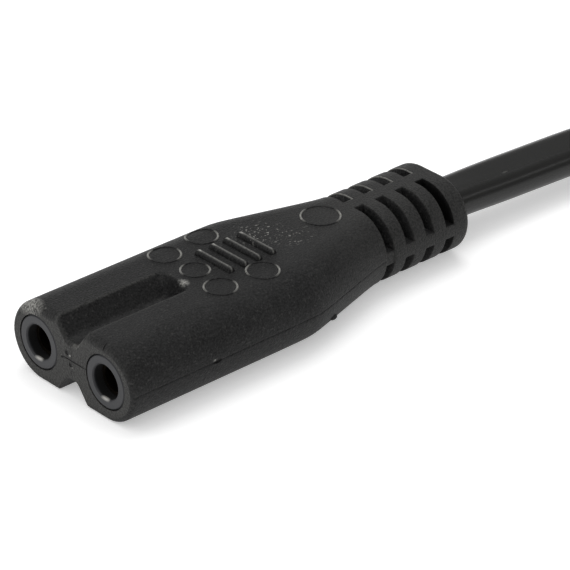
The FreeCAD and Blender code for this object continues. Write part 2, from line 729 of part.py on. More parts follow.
PLUG_JACKET = PLUG_ALL - S["cord_in"]
PLUG_WIRE_START = S["bridge_len"] + S["crimp_floor"]
plug_conductors = {}
plug_blanks = {}
for side, sign in (("left", 1), ("right", -1)):
    ys = (half_prong * sign, S["core_pitch"] / 2 * sign)
    wire_places = (PLUG_WIRE_START, BARREL_END, PLUG_JACKET)
    plug_conductors[side] = fan("plug_conductor_" + side, S["wire_r"], ys, wire_places, plug=True)
    core_places = (BARREL_END, BARREL_END, PLUG_JACKET)
    plug_blanks[side] = fan("plug_core_blank_" + side, S["core_r"], ys, core_places, plug=True)
plug_core_left = cut("plug_core_left", plug_blanks["left"], [plug_conductors["left"]])
plug_core_right = cut("plug_core_right", plug_blanks["right"], [plug_conductors["right"]])
plug_body = cut(
    "plug_body", plug_form, [bridge_form, *barrels, plug_blanks["left"], plug_blanks["right"], tail_blank]
)
doc.recompute()

NODES = [
    connector_overmould, carrier, contact_left, contact_right, core_left, core_right,
    conductors["left"], conductors["right"], cord_lead, hank, cord_tie, cord_tail,
    plug_body, plug_bridge, pins["left"], pins["right"], sleeves["left"], sleeves["right"],
    plug_core_left, plug_core_right, plug_conductors["left"], plug_conductors["right"],
]

for thing in doc.Objects:
    if "Invalid" in thing.State or "Error" in thing.State:
        raise RuntimeError("%s is not built: %s" % (thing.Label, thing.State))
os.makedirs("parts", exist_ok=True)
for node in NODES:
    shape = node.Shape
    if shape.isNull() or not shape.isValid() or len(shape.Solids) != 1:
        raise RuntimeError("%s is not one sound solid: %d solids" % (node.Label, len(shape.Solids)))
    box = shape.optimalBoundingBox()
    print("%-22s vol %9.2f  x %7.2f %7.2f  y %7.2f %7.2f  z %6.2f %6.2f" % (
        node.Label, shape.Volume, box.XMin, box.XMax, box.YMin, box.YMax, box.ZMin, box.ZMax))
    shape.exportStep("parts/%s.step" % node.Label)
print("%d nodes written" % len(NODES))
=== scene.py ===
# %% [markdown]
# # A figure eight power connector
#
# The object is the small black connector that ends the mains lead of a radio or a charger. Its two
# contacts sit side by side in a nose shaped like the figure 8, a slotted strain relief guards the cord,
# and the cord's other end has a slim plug. The solids come packed from the CAD model. This lesson gives
# them their look: soft moulded edges, a matte skin with its wear, the cord at its full length, a strap,
# and light. Sizes are written in millimetres, and MM turns them into Blender's metres.

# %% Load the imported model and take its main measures
import math

import bmesh
import bpy
import numpy as np
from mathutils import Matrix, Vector


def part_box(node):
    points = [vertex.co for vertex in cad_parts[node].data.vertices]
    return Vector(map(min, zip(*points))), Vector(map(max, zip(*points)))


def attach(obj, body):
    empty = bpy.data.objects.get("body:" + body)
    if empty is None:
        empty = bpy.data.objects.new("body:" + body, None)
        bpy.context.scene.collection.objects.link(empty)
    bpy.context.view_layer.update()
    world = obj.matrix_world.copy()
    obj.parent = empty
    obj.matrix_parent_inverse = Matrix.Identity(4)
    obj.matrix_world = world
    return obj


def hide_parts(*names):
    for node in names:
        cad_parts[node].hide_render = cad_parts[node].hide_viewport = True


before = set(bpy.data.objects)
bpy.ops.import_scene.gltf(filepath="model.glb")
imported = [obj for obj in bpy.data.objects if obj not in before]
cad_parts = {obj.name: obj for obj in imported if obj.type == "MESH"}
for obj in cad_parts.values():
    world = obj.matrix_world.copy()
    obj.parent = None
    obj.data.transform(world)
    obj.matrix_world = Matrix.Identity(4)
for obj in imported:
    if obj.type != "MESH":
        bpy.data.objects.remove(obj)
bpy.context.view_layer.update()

MM = 0.001
housing_low, housing_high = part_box("connector_overmould")
carrier_low, carrier_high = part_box("contact_carrier")
FACE_X = housing_low.x / MM
AXIS_Z = (carrier_low.z + carrier_high.z) / 2 / MM
EXIT_X = (housing_high.x - housing_low.x) / MM
print("mating face at x %.2f mm, contact axis %.2f mm above the floor" % (FACE_X, AXIS_Z))

# %% [markdown]
# ## The camera
#
# A camera can be fitted to a photograph by hand, or worked out from known sizes. Here the spacing of the
# two contacts is known, so the direction, distance and lens follow from where the outlines fall in the
# picture. The long lens keeps the connector's edges almost parallel.

# %% Place the camera
def put(name, data):
    """New object in the scene that shows the data, at the origin."""
    thing = bpy.data.objects.new(name, data)
    bpy.context.scene.collection.objects.link(thing)
    return thing


VIEW_AZIMUTH = math.radians(-41.97)
VIEW_ELEVATION = math.radians(29.45)
VIEW_DISTANCE = 300.0 * MM
VIEW_AIM = Vector((3.73, 0.91, 1.23)) * MM
LENS = 220.6
SENSOR = 36.0

camera_data = bpy.data.cameras.new("camera")
camera_data.lens = LENS
camera_data.sensor_width = SENSOR
camera_data.clip_start = 10 * MM
camera = put("camera", camera_data)
towards_eye = Vector((
    math.sin(VIEW_AZIMUTH) * math.cos(VIEW_ELEVATION),
    -math.cos(VIEW_AZIMUTH) * math.cos(VIEW_ELEVATION),
    math.sin(VIEW_ELEVATION),
))
camera.location = VIEW_AIM + towards_eye * VIEW_DISTANCE
camera.rotation_euler = (-towards_eye).to_track_quat("-Z", "Y").to_euler()
bpy.context.scene.camera = camera
print("camera at", [round(v / MM, 1) for v in camera.location], "mm")

# %% [markdown]
# ## The cord's route
#
# The flat cord leaves the strain relief, droops a little, and runs into a tied hank outside the picture.
# A cord can be drawn by hand as a curve with many points, but a NURBS curve needs only a few: it stays
# inside its control points and bends as softly as a real cord. The points of the lead, and of the tail that
# goes to the plug, are listed here and count from the mating face.

# %% Choose the points of the lead and the tail
CORD_W = 4.7
CORD_H = 2.9
LEAD = [
    (31.6, 0.0, 3.52),
    (40.9, 0.0, 3.52),
    (50.0, -0.33, 3.3),
    (64.0, -0.85, 2.95),
    (74.0, -6.8, 2.8),
    (83.5, -14.6, 2.95),
]
TAIL = [
    (133.0, -17.9, 7.6),
    (145.0, -16.8, 7.3),
    (157.0, -1.5, 6.95),
    (166.0, 0.0, 6.85),
    (175.3, 0.0, 6.85),
]
print("lead of %d points, tail of %d points" % (len(LEAD), len(TAIL)))

# %% [markdown]
# The cord stands on edge in the hank, because a flat cord folds only over its flat side. Its turns climb
# along the inside of the hank, come down along the outside, and then leave for the plug. The measures come
# from the CAD solids, so the turns fill the room that the model gives them.

# %% Measure the hank
TURN_GAP = 0.1
STRAP_THICK = 0.6
hank_low, hank_high = (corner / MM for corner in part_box("cord_hank"))
hank_r = hank_high.y
near_x = hank_low.x - FACE_X + hank_r
far_x = hank_high.x - FACE_X - hank_r
outer = hank_r - CORD_H / 2
inner = outer - CORD_H - TURN_GAP
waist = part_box("cord_tie")[1].y / MM - STRAP_THICK - (CORD_H + TURN_GAP) / 2
drawn_in = outer - waist
layer_z = [hank_low.z + CORD_W * (n + 0.5) for n in range(4)]
PASSES = [(outer, 0), (inner, 0), (inner, 1), (inner, 2), (inner, 3), (outer, 3), (outer, 2), (outer, 1)]
print("%d turns between x %.1f and %.1f mm behind the face" % (len(PASSES), near_x, far_x))

# %% [markdown]
# The folds could be drawn one by one, but they repeat, so a loop works them out as more control points of
# the same curve. Each leg is drawn in at the waist, where the strap holds it.

# %% Work out the turns of the hank
FOLD_STEP = 30
FOLD_SHRINK = 0.75 + 0.25 * math.cos(math.radians(FOLD_STEP))  # how far the curve stays inside its points
LEG_POINTS = ((0.25, 0.5, 0.57), (0.40, 1.0, 0.36))  # share of the run, of the drawing in, and of the lean


def leg(side, r, z, towards_far):
    """Control points of one leg, drawn in at the waist; side is 1 or -1 across the hank."""
    half = []
    for share, pull, lean in LEG_POINTS:
        half.append((share * (far_x - near_x) - lean * (outer - r), side * (r - drawn_in * pull), z))
    near_half = [(near_x + x, y, z) for x, y, z in half]
    far_half = [(far_x - x, y, z) for x, y, z in reversed(half)]
    points = near_half + far_half
    return points if towards_far else points[::-1]


def fold(centre, first_angle, start, end):
    """Control points of a half turn whose radius and height change from start to end."""
    points = []
    steps = 180 // FOLD_STEP
    for step in range(steps + 1):
        share = step / steps
        angle = math.radians(first_angle + step * FOLD_STEP)
        r = (start[0] + (end[0] - start[0]) * share ** 2) / FOLD_SHRINK
        z = start[1] + (end[1] - start[1]) * share
        points.append((centre + r * math.cos(angle), r * math.sin(angle), z))
    return points


hank = []
for number, (r, layer) in enumerate(PASSES):
    z = layer_z[layer]
    hank += leg(-1, r, z, True)
    if number + 1 < len(PASSES):
        next_r, next_layer = PASSES[number + 1]
        hank += fold(far_x, -90, (r, z), (r, z))
        hank += leg(1, r, z, False)
        hank += fold(near_x, 90, (r, z), (next_r, layer_z[next_layer]))
route = [(FACE_X + x, y, z) for x, y, z in LEAD + hank + TAIL]
print("route of %d control points" % len(route))

# %% [markdown]
# A curve with no thickness, turned into a mesh, gives the points along the cord. They are read here once,
# and the flat section is carried along them.

# %% Read the smooth line from the curve
def distances(points):
    """Distance of each point from the first, along the row."""
    return np.concatenate([[0], np.cumsum(np.linalg.norm(np.diff(points, axis=0), axis=1))])


route_data = bpy.data.curves.new("cord_route", "CURVE")
route_data.dimensions = "3D"
route_data.resolution_u = 8
spline = route_data.splines.new("NURBS")
spline.points.add(len(route) - 1)
for point, place in zip(spline.points, route):
    point.co = (*(v * MM for v in place), 1.0)
spline.order_u = 3
spline.use_endpoint_u = True
route_object = put("cord_route", route_data)
depsgraph = bpy.context.evaluated_depsgraph_get()
line_mesh = bpy.data.meshes.new_from_object(route_object.evaluated_get(depsgraph))
line = np.array([v.co for v in line_mesh.vertices])
bpy.data.objects.remove(route_object)
bpy.data.meshes.remove(line_mesh)
along = distances(line)
print("cord is %.3f m long, drawn through %d points" % (along[-1], len(line)))

# %% [markdown]
# ## Tools for meshes
#
# Most pieces below are rows of points joined by quads. In Edit Mode that would be Bridge Edge Loops; in a
# script it is one line for each pair of loops. The normals are then turned outwards, and only edges that
# bend by more than an angle are kept sharp.

# %% Small tools for meshes
def mesh_piece(name, points, faces, sharp_over=40):
    """Object at the origin from points in metres; edges that turn by more than the angle stay sharp."""
    mesh = bpy.data.meshes.new(name)
    mesh.from_pydata([tuple(p) for p in points], [], [tuple(f) for f in faces])
    work = bmesh.new()
    work.from_mesh(mesh)
    bmesh.ops.recalc_face_normals(work, faces=work.faces)
    work.to_mesh(mesh)
    work.free()
    smooth(mesh)
    mesh.set_sharp_from_angle(angle=math.radians(sharp_over))
    return put(name, mesh)


def smooth(mesh):
    mesh.polygons.foreach_set("use_smooth", [True] * len(mesh.polygons))


def bridge(first, second):
    """Quads between two closed loops of vertex numbers."""
    count = len(first)
    return [(first[i], first[(i + 1) % count], second[(i + 1) % count], second[i]) for i in range(count)]


def tube_faces(rows, count):
    """Quads between rows of count points that go round, and the faces at both ends."""
    faces = []
    for i in range(rows - 1):
        faces += bridge(range(i * count, (i + 1) * count), range((i + 1) * count, (i + 2) * count))
    return faces + [range(count), range((rows - 1) * count, rows * count)]


def unit(directions):
    """The same directions, each with a length of 1."""
    return directions / np.linalg.norm(directions, axis=1)[:, None]


def ease(x, start, end):
    """0 before the start and 1 after the end, with a smooth rise between."""
    t = np.clip((x - start) / (end - start), 0, 1)
    return t * t * (3 - 2 * t)


print("two loops of 4 points are joined by %d quads" % len(bridge(range(4), range(4, 8))))

# %% [markdown]
# ## The flat cord
#
# The jacket is an oval of two half rounds and two flats. It lies level in the connector and in the plug,
# and stands on edge in the hank. A bevelled curve can't twist at chosen places so easily, so the section is
# carried along one point at a time: its broad direction is a mix of level and upright that changes along
# the cord.

# %% Carry the flat section along the line
TILT_UP = (26 * MM, 62 * MM)  # where the cord turns on edge, from its start
TILT_DOWN = (24 * MM, 70 * MM)  # the same, from its end
EARLY_TWIST = math.radians(8)
TWIST_START = (9 * MM, 18 * MM)


def cord_section(half_turn_steps=12, flat_steps=6):
    """Points of the flat oval, broad way first, going round once."""
    r = CORD_H / 2
    k = CORD_W / 2 - r
    points = []
    for side in (1, -1):
        for step in range(half_turn_steps + 1):
            angle = math.pi * (step / half_turn_steps - 0.5)
            points.append((side * (k + r * math.cos(angle)), side * r * math.sin(angle)))
        for step in range(1, flat_steps):
            points.append((side * k * (1 - 2 * step / flat_steps), side * r))
    return np.array(points) * MM


tangent = unit(np.gradient(line, axis=0))
level = unit(np.cross([0, 0, 1], tangent))
upright = np.cross(tangent, level)
tilt = ease(along, *TILT_UP) * ease(along[-1] - along, *TILT_DOWN) * math.pi / 2
tilt += EARLY_TWIST * ease(along, *TWIST_START) * (1 - ease(along, *TILT_UP))
broad = level * np.cos(tilt)[:, None] + upright * np.sin(tilt)[:, None]
thin = np.cross(tangent, broad)
section = cord_section()
across_broad = broad[:, None, :] * section[None, :, :1]
across_thin = thin[:, None, :] * section[None, :, 1:]
rings = line[:, None, :] + across_broad + across_thin
cord_faces = tube_faces(len(line), len(section))
cord = mesh_piece("flat_cord", rings.reshape(-1, 3), cord_faces)
print("cord of %d faces" % len(cord_faces))

# %% [markdown]
# ## The moulded shells
#
# Connector and plug are moulded over the cord, and every edge of such a moulding is a little round. A
# bevel on the CAD solid would stumble over the many short edges of the slots. So the skin is made as one
# grid: lines along the body, and lines round its flat oval section, with extra lines wherever a slot, a
# grip bar or the groove begins. Each crossing is then pushed out or in by simple rules.

# %% Lines of the skin's grid
EDGE = 0.13  # round of a slot's edge
WALL = 0.02  # from the last line on the skin to the first one on a wall
SEAM = 0.07  # half width of the seam where the two halves of the mould met
SEAM_DEEP = 0.045


def along_lines(marks, gap):
    """Sorted places along the body, with more put in wherever two lie further apart than the gap."""
    marks = sorted(marks)
    places = [marks[0]]
    for mark in marks[1:]:
        last = places[-1]
        if mark - last > WALL / 4:
            steps = math.ceil((mark - last) / gap)
            places += [last + (mark - last) * (n + 1) / steps for n in range(steps)]
    return places


def side_web_line(shape, x):
    """Distance round the section at which the web along the side begins."""
    r = shape["half_h"](x)
    return shape["flat"](x) + r * (math.pi / 2 - math.asin(shape["web_side"] / r))


def round_lines(shape, x):
    """Distances round a quarter of the section, from the middle of the top to the middle of the side."""
    k, r = shape["flat"](x), shape["half_h"](x)
    top_line = shape["top_line"](x)
    side_web = side_web_line(shape, x)
    quarter = k + r * math.pi / 2
    return np.concatenate([
        np.linspace(0, top_line - EDGE, 15),
        [top_line - EDGE / 2, top_line, top_line + WALL, top_line + EDGE / 2],
        np.linspace(top_line + EDGE, k, 11),
        np.linspace(k, side_web - WALL, 25)[1:],
        [side_web, side_web + EDGE / 2],
        np.linspace(side_web + EDGE, quarter - SEAM, 4),
        [quarter],
    ])


print("edges rounded by %.2f mm, seam %.3f mm deep" % (EDGE, SEAM_DEEP))

# %% [markdown]
# Two small rules shape every edge. One says how far a round edge lies below the skin. The other bends
# softly from level to rising, where a plain maximum would leave a crease.

# %% Rules for soft edges
def rounded(distance, r=EDGE):
    """How far a rounded edge lies below the skin at this distance from it."""
    reach = np.clip(r - distance, 0, r)
    return r - np.sqrt(r ** 2 - reach ** 2)


def soft_positive(t, softness):
    """The number itself where it is positive and 0 where it isn't, with a soft bend between."""
    return (t + np.sqrt(t ** 2 + softness)) / 2


print("half way over a round edge the skin is %.3f mm lower" % rounded(EDGE / 2))

# %% [markdown]
# Four low bars on the top give the thumb a grip. Each is a rounded ridge with a painted highlight along its
# crest, a painted glint at its left end, and painted shade in the gaps between them. Wear, painted light
# and painted shade go into one number for each point, above or below zero, which the material reads later
# as an attribute.

# %% Rule for the grip bars
# painted highlight on each crest, a painted glint at its left end, and painted shade in the gaps
CREST_HALF, CREST_HIGHLIGHT = 0.12, 6
BAR_END, BAR_END_GLINT = (0.7, 0.3), 12
GAP_REACH, GAP_FADE = 0.9, 0.3
FAINT_SHADE = 0.2


def raise_bars(shape, x, p, out, rub, left):
    """Heights over the skin, and wear with painted light and shade, with the grip bars put on."""
    end = shape["top_line"](x)
    for bar in shape["bars"]:
        distance = np.maximum(abs(x - bar) - shape["bar_half"], p - end)
        on_bar = distance < WALL / 2
        out = out + np.where(on_bar, shape["bar_high"] - rounded(-distance, shape["bar_half"]), 0)
        at_end = left * ease(p, end - BAR_END[0], end - BAR_END[1])
        crest = max(1 - abs(x - bar) / CREST_HALF, 0) * (CREST_HIGHLIGHT + BAR_END_GLINT * at_end)
        shade = FAINT_SHADE * (abs(x - bar) < GAP_REACH) * (1 - ease(p, end, end + GAP_FADE))
        beside = np.where(rub < 0, rub, rub - shade)
        rub = np.where(on_bar, np.where(crest > 0, crest, -shade), beside)
    return out, rub


print("grip bars have a crest %.2f mm wide" % (2 * CREST_HALF))

# %% [markdown]
# A V groove runs between the two lobes, above and below, so that the nose fits its inlet one way up or the
# other. Cutting it with a Boolean would leave knife edges. Here the skin is lowered to the groove where
# the groove lies deeper, and a square root softens both the upper edges and the corners of the floor.

# %% Rule for the groove
# the SHADE values set the painted shade inside the groove, the edge values a painted highlight
GROOVE_EDGE_SOFT, GROOVE_FLOOR_SOFT = 0.003, 0.02
GROOVE_LIP, LIP_RUB, PALE_LIP_RUB = 0.3, 0.6, 2.5
GROOVE_EDGE_HIGHLIGHT, GROOVE_EDGE_REACH, GROOVE_STRAIGHT = 0.9, 0.2, 10.6
SHADE_DEPTH, SHADE_START, SHADE_FROM = 0.5, 0.8, 0.2


def cut_groove(shape, x, p, y, z, rub, inset, pale_lip):
    """Heights, and wear with painted light and shade, with the groove cut in."""
    deep, half_top, half_floor = shape["groove"](x)
    if deep <= 0:
        return z, rub
    k, r = shape["flat"](x), shape["half_h"](x)
    slope = soft_positive((half_top - y) / (half_top - half_floor), GROOVE_EDGE_SOFT)
    cut = deep * (1 - soft_positive(1 - slope, GROOVE_FLOOR_SOFT))
    groove_z = r - np.clip(cut, 0, deep) - inset / 2
    # painted shade inside the groove, growing with depth
    painted_shade_inside = np.clip((z - groove_z) / SHADE_DEPTH, 0, 1) * (p < k)
    lip = (PALE_LIP_RUB if pale_lip else LIP_RUB) * (x < GROOVE_LIP)
    near_edge = np.clip(1 - abs(y - half_top) / GROOVE_EDGE_REACH, 0, 1)
    # painted highlight along the groove's upper edges
    edge = GROOVE_EDGE_HIGHLIGHT * near_edge * (x < GROOVE_STRAIGHT)
    dark = FAINT_SHADE * painted_shade_inside * float(ease(x, 0, SHADE_START))
    rub = np.where(painted_shade_inside > SHADE_FROM, lip - dark, rub + edge)
    return np.where(p < k, np.minimum(z, groove_z), z), rub


# the groove's edges carry a painted highlight over this reach
print("groove edges rubbed over %.1f mm" % GROOVE_EDGE_REACH)

# %% [markdown]
# The strain relief bends because rows of slots cut it down to a core round the cord, and only narrow webs
# join its rings. Inside a slot the points jump from the skin on to that core. The lips are rounded and a
# little rubbed, and the rear lips on the upper left get a painted glint. The slots' walls get full painted
# shade.

# %% Rule for the slots
# FULL_SHADE is painted shade on the slots' walls, LIP_GLINT a painted glint on the rear lips at the upper
# left
FULL_SHADE = -1.0
LIP_GLINT = 9.0
FIRST_EDGE_DEEP = 0.1


def cut_slots(shape, x, p, y, z, rub, turn, paled):
    """Places, and wear with painted light and shade, with the slots of the strain relief cut in."""
    side_web = side_web_line(shape, x)
    core_y, core_z, corner = shape["core"]
    core = np.array([
        (shape["web_top"], core_z), (core_y - corner, core_z), (core_y, core_z - corner),
        (core_y, shape["web_side"])])
    steps = distances(core)
    share = (p - shape["web_top"]) / (side_web - shape["web_top"]) * steps[-1]
    for number, slot in enumerate(shape["slots"]):
        middle = slot + shape["slot_w"] / 2
        beside = abs(x - middle) - shape["slot_w"] / 2
        distance = np.maximum(beside, np.maximum(shape["web_top"] - p, p - side_web))
        lower = rounded(np.maximum(distance, 0))
        if number == 0:
            step_down = min(rounded(max(beside, 0)), FIRST_EDGE_DEEP)
            lower = np.maximum(lower, np.where(p > side_web, step_down, 0))
        y, z = y - lower * np.sin(turn), z - lower * np.cos(turn)
        deep = distance < -WALL / 2
        y = np.where(deep, np.interp(share, steps, core[:, 0]), y)
        z = np.where(deep, np.interp(share, steps, core[:, 1]), z)
        # lips get a little edge wear, the upper left rear lips a painted glint; the walls get painted shade
        lip = LIP_GLINT if paled and x > middle else LIP_RUB
        rub = np.where(distance < EDGE / 4, FULL_SHADE, np.maximum(rub, lip * (lower > 0)))
    return y, z, rub


# the printed value is the painted glint on the upper left rear lips
print("slots reach down to a core, lips rubbed up to %.0f" % LIP_GLINT)

# %% [markdown]
# Three rules make a quarter of the section, and four quarters make the closed loop. The underside has no
# bars, so one plain quarter serves for both of its sides. The front rim is rounder on top, where fingers
# and inlets have worn it, than below.

# %% Put a whole section together
EDGE_RUB = 0.5


def quarter_skin(shape, x, top, left):
    """Places across and up, and their wear, painted light and painted shade, for a quarter of the section
    at x.
    """
    p = round_lines(shape, x)
    k, r = shape["flat"](x), shape["half_h"](x)
    turn = np.clip((p - k) / r, 0, math.pi / 2)
    rim = shape["rim_low"] + (shape["rim"] - shape["rim_low"]) * np.cos(turn) * top
    inset = rounded(x, rim) + rounded(shape["length"] - x, shape["rear"])
    out = -inset
    out[-1] -= SEAM_DEEP * (x < shape["slots"][0])
    # edges are paler from wear, and the rear is paler as painted light
    rub = EDGE_RUB * inset / max(shape["rim"], shape["rear"]) + shape["rear_light"](x)
    if top:
        out, rub = raise_bars(shape, x, p, out, rub, left)
    y = np.minimum(p, k) + (r + out) * np.sin(turn)
    z = (r + out) * np.cos(turn)
    if shape["groove"]:
        z, rub = cut_groove(shape, x, p, y, z, rub, inset, top and not left)
    return cut_slots(shape, x, p, y, z, rub, turn, top and left)


def whole_section(shape, x):
    """The quarters put together into one closed loop that starts at the middle of the top."""
    left, right = quarter_skin(shape, x, True, True), quarter_skin(shape, x, True, False)
    low = quarter_skin(shape, x, False, False)
    y = np.concatenate([left[0], low[0][-2::-1], -low[0][1:], -right[0][-2:0:-1]])
    z = np.concatenate([left[1], -low[1][-2::-1], -low[1][1:], right[1][-2:0:-1]])
    rub = np.concatenate([left[2], low[2][-2::-1], low[2][1:], right[2][-2:0:-1]])
    return np.stack([np.full(len(y), x), y, z], axis=1), rub


print("an edge that rounds over is rubbed by up to %.1f" % EDGE_RUB)

# %% [markdown]
# A shell is a row of such loops, joined by quads. Its ends are closed by flat faces that run to the rim of
# a hole, with a blind hole behind, because carrier, cord and pin bridge are moulded into it.

# %% A shell and its ends
END_STEPS = (0.05, 0.35, 0.7, 1.0)  # shares of the way from the outline to the hole's rim


class Shell:
    """Points and faces of a moulded skin, closed at its ends round whatever is moulded into it."""

    def __init__(self, shape, places):
        self.points, self.rub, self.faces = [], [], []
        self.loops = []
        for x in places:
            points, rub = whole_section(shape, x)
            self.loops.append(self.add(points, rub))
            if len(self.loops) > 1:
                self.faces += bridge(self.loops[-2], self.loops[-1])

    def add(self, points, rub=None):
        first = len(self.points)
        self.points += [tuple(p) for p in points]
        self.rub += [0.0] * len(points) if rub is None else list(rub)
        return list(range(first, len(self.points)))

    def places_of(self, loop):
        return np.array([self.points[i] for i in loop])

    def sink(self, loop, rim, depth, pale_wear_and_light=0.0):
        """Flat face from the loop to the rim of a hole, and the blind hole behind it."""
        start = self.places_of(loop)
        for share in END_STEPS:
            ring = self.add(start + (rim - start) * share, [pale_wear_and_light] * len(loop))
            self.faces += bridge(loop, ring)
            loop = ring
        bottom = self.add(rim + np.array([depth, 0, 0]))
        self.faces += bridge(loop, bottom)
        self.faces.append(bottom)

    def piece(self, name, place):
        shell = mesh_piece(name, [place(*p) for p in self.points], self.faces)
        shell.data.attributes.new("rub", "FLOAT", "POINT").data.foreach_set("value", self.rub)
        return shell


print("an end face is drawn in over %d steps" % len(END_STEPS))

# %% [markdown]
# A few helpers give the shell its numbers: the oval hole in an end, a width that narrows softly, and the
# places along the body where the grid needs a line.

# %% Rims, tapers and marks
def oval_rim(loop_points, flat, hole_flat, hole_r):
    """The loop of an oval section drawn in to a smaller oval, point by point."""
    rim = loop_points.copy()
    x, y, z = loop_points.T
    over = np.abs(y) > flat
    angle = np.arctan2(z, np.abs(y) - flat)
    rim[:, 1] = np.where(over, np.sign(y) * (hole_flat + hole_r * np.cos(angle)), y * hole_flat / flat)
    rim[:, 2] = np.where(over, hole_r * np.sin(angle), np.sign(z) * hole_r)
    return rim


def taper(start, end, first, last, soft=1.2):
    """A width that is steady, narrows between two places, and is steady again, with soft bends."""
    def width(x):
        slope = (last - first) / (end - start)
        return first + slope * (soft_positive(x - start, soft ** 2) - soft_positive(x - end, soft ** 2))
    return width


def edge_marks(at, towards):
    """Lines that hold a rounded edge, and one just past its wall."""
    return [at - towards * EDGE, at - towards * EDGE / 2, at, at + towards * WALL]


def slot_marks(shape):
    """Lines that hold both edges of every slot."""
    marks = []
    for slot in shape["slots"]:
        marks += edge_marks(slot, 1) + edge_marks(slot + shape["slot_w"], -1)
    return marks


def quarter_round(r):
    return [r * (1 - math.sin(math.radians(a))) for a in range(0, 91, 11)]


print("a rounded end takes %d loops" % len(quarter_round(1.0)))

# %% [markdown]
# ## The connector
#
# The connector's numbers are the ones of its CAD solid. The body narrows from the nose to the relief, and
# painted light makes the part behind the bars a shade paler.

# %% Shape of the connector
NOSE_LEN, TAPER_LEN = 20.5, 10.3
NOSE_HALF_W = housing_high.y / MM
NOSE_R = AXIS_Z
RELIEF_HALF_W = 4.8
SLOT_START = NOSE_LEN + TAPER_LEN
SLOT_PITCH, SLOT_W = 2.38, 0.92
WEB_TOP, WEB_SIDE = 0.7, 0.65
BAR_FIRST, BAR_PITCH = 15.45, 1.55
BAR_HALF, BAR_HIGH, BAR_HALF_LEN, CREST_LINE = 0.3, 0.45, 2.2, 0.08
GROOVE_DEEP, GROOVE_HALF_TOP, GROOVE_HALF_FLOOR = 1.75, 1.95, 0.65
GROOVE_END, GROOVE_NARROWS = (10.6, 11.35), 0.25
BARS_FROM, WEB_FROM = (12.8, 14.0), (20.8, 29.5)  # where the line along the top moves over to them
CORE = (3.15, 2.25, 1.2)  # half width, half height and corner of what the slots leave
TAPER_SOFT, LINE_GAP = 0.8, 0.42
RIM, RIM_LOW, REAR = 0.75, 0.4, 0.7
# REAR_LIGHT is painted light that makes the rear of the body paler
REAR_LIGHT, REAR_LIGHT_FROM = 0.5, (19.0, 32.0)


def nose_groove(x):
    """Depth of the V groove, and its half widths at the surface and at the floor."""
    rise = float(ease(x, *GROOVE_END))
    return GROOVE_DEEP * (1 - rise), GROOVE_HALF_TOP - GROOVE_NARROWS * rise, GROOVE_HALF_FLOOR


def groove_bar_web_line(x):
    """The line along the top that is the groove's edge, then the bars' ends, then the web's edge."""
    widened = (BAR_HALF_LEN - GROOVE_HALF_TOP) * float(ease(x, *BARS_FROM))
    return GROOVE_HALF_TOP + widened - (BAR_HALF_LEN - WEB_TOP) * float(ease(x, *WEB_FROM))


flat_width = taper(
    NOSE_LEN, SLOT_START - TAPER_SOFT / 2, NOSE_HALF_W - NOSE_R, RELIEF_HALF_W - NOSE_R, TAPER_SOFT)
connector_shape = {
    "length": EXIT_X, "flat": flat_width, "half_h": lambda x: NOSE_R,
    "rim": RIM, "rim_low": RIM_LOW, "rear": REAR,
    "top_line": groove_bar_web_line, "web_top": WEB_TOP, "web_side": WEB_SIDE, "core": CORE,
    "slots": [SLOT_START + SLOT_PITCH * n for n in range(4)], "slot_w": SLOT_W,
    "bars": [BAR_FIRST + BAR_PITCH * n for n in range(4)], "bar_half": BAR_HALF, "bar_high": BAR_HIGH,
    "groove": nose_groove, "rear_light": lambda x: REAR_LIGHT * float(ease(x, *REAR_LIGHT_FROM)),
}
marks = quarter_round(RIM) + [EXIT_X - r for r in quarter_round(REAR)] + slot_marks(connector_shape)
marks += list(np.linspace(10.5, 11.5, 17))  # a close row over the end of the groove
for bar in connector_shape["bars"]:
    marks += edge_marks(bar - BAR_HALF, -1) + edge_marks(bar + BAR_HALF, 1)
    marks += [bar - CREST_LINE, bar, bar + CREST_LINE]
connector = Shell(connector_shape, along_lines(marks, LINE_GAP))
print("connector of %d loops, %.1f mm long" % (len(connector.loops), EXIT_X))

# %% [markdown]
# The front face has two round holes, in which the harder contact carrier shows as two rings, and the rear
# face has the flat hole of the cord. A row of points down the middle splits the front loop in two, so that
# each half can be drawn in to its own hole.

# %% Close the connector's ends
PIN_Y = 4.3
TOWER_R = carrier_high.y / MM - PIN_Y
FIT_GAP = 0.04
# the front face is made paler: part dust, part painted light
FACE_DUST_AND_LIGHT = 1.2
CORD_FLAT, CORD_R = (CORD_W - CORD_H) / 2, CORD_H / 2 + FIT_GAP / 2

front = connector.loops[0]
half = len(front) // 2
middle_z = np.linspace(connector.points[front[half]][2], connector.points[front[0]][2], 14)[1:-1]
middle = connector.add([(0, 0, z) for z in middle_z])
for loop, y in ((front[:half + 1] + middle, PIN_Y), (front[half:] + front[:1] + middle[::-1], -PIN_Y)):
    outline = connector.places_of(loop)
    angle = np.arctan2(outline[:, 2], outline[:, 1] - y)
    r = TOWER_R + FIT_GAP
    rim = np.stack([np.zeros(len(loop)), y + r * np.cos(angle), r * np.sin(angle)], axis=1)
    connector.sink(loop, rim, (carrier_high.x - carrier_low.x) / MM + FIT_GAP, FACE_DUST_AND_LIGHT)
rear_loop = connector.loops[-1]
cord_rim = oval_rim(connector.places_of(rear_loop), flat_width(EXIT_X), CORD_FLAT, CORD_R)
connector.sink(rear_loop, cord_rim, LEAD[0][0] - EXIT_X)


def behind_face(x, y, z):
    """Place in metres of a point given behind the mating face, across, and up from the contact axis."""
    return (FACE_X + x) * MM, y * MM, (AXIS_Z + z) * MM


housing = connector.piece("moulded_housing", behind_face)
print("connector shell of %d faces" % len(connector.faces))

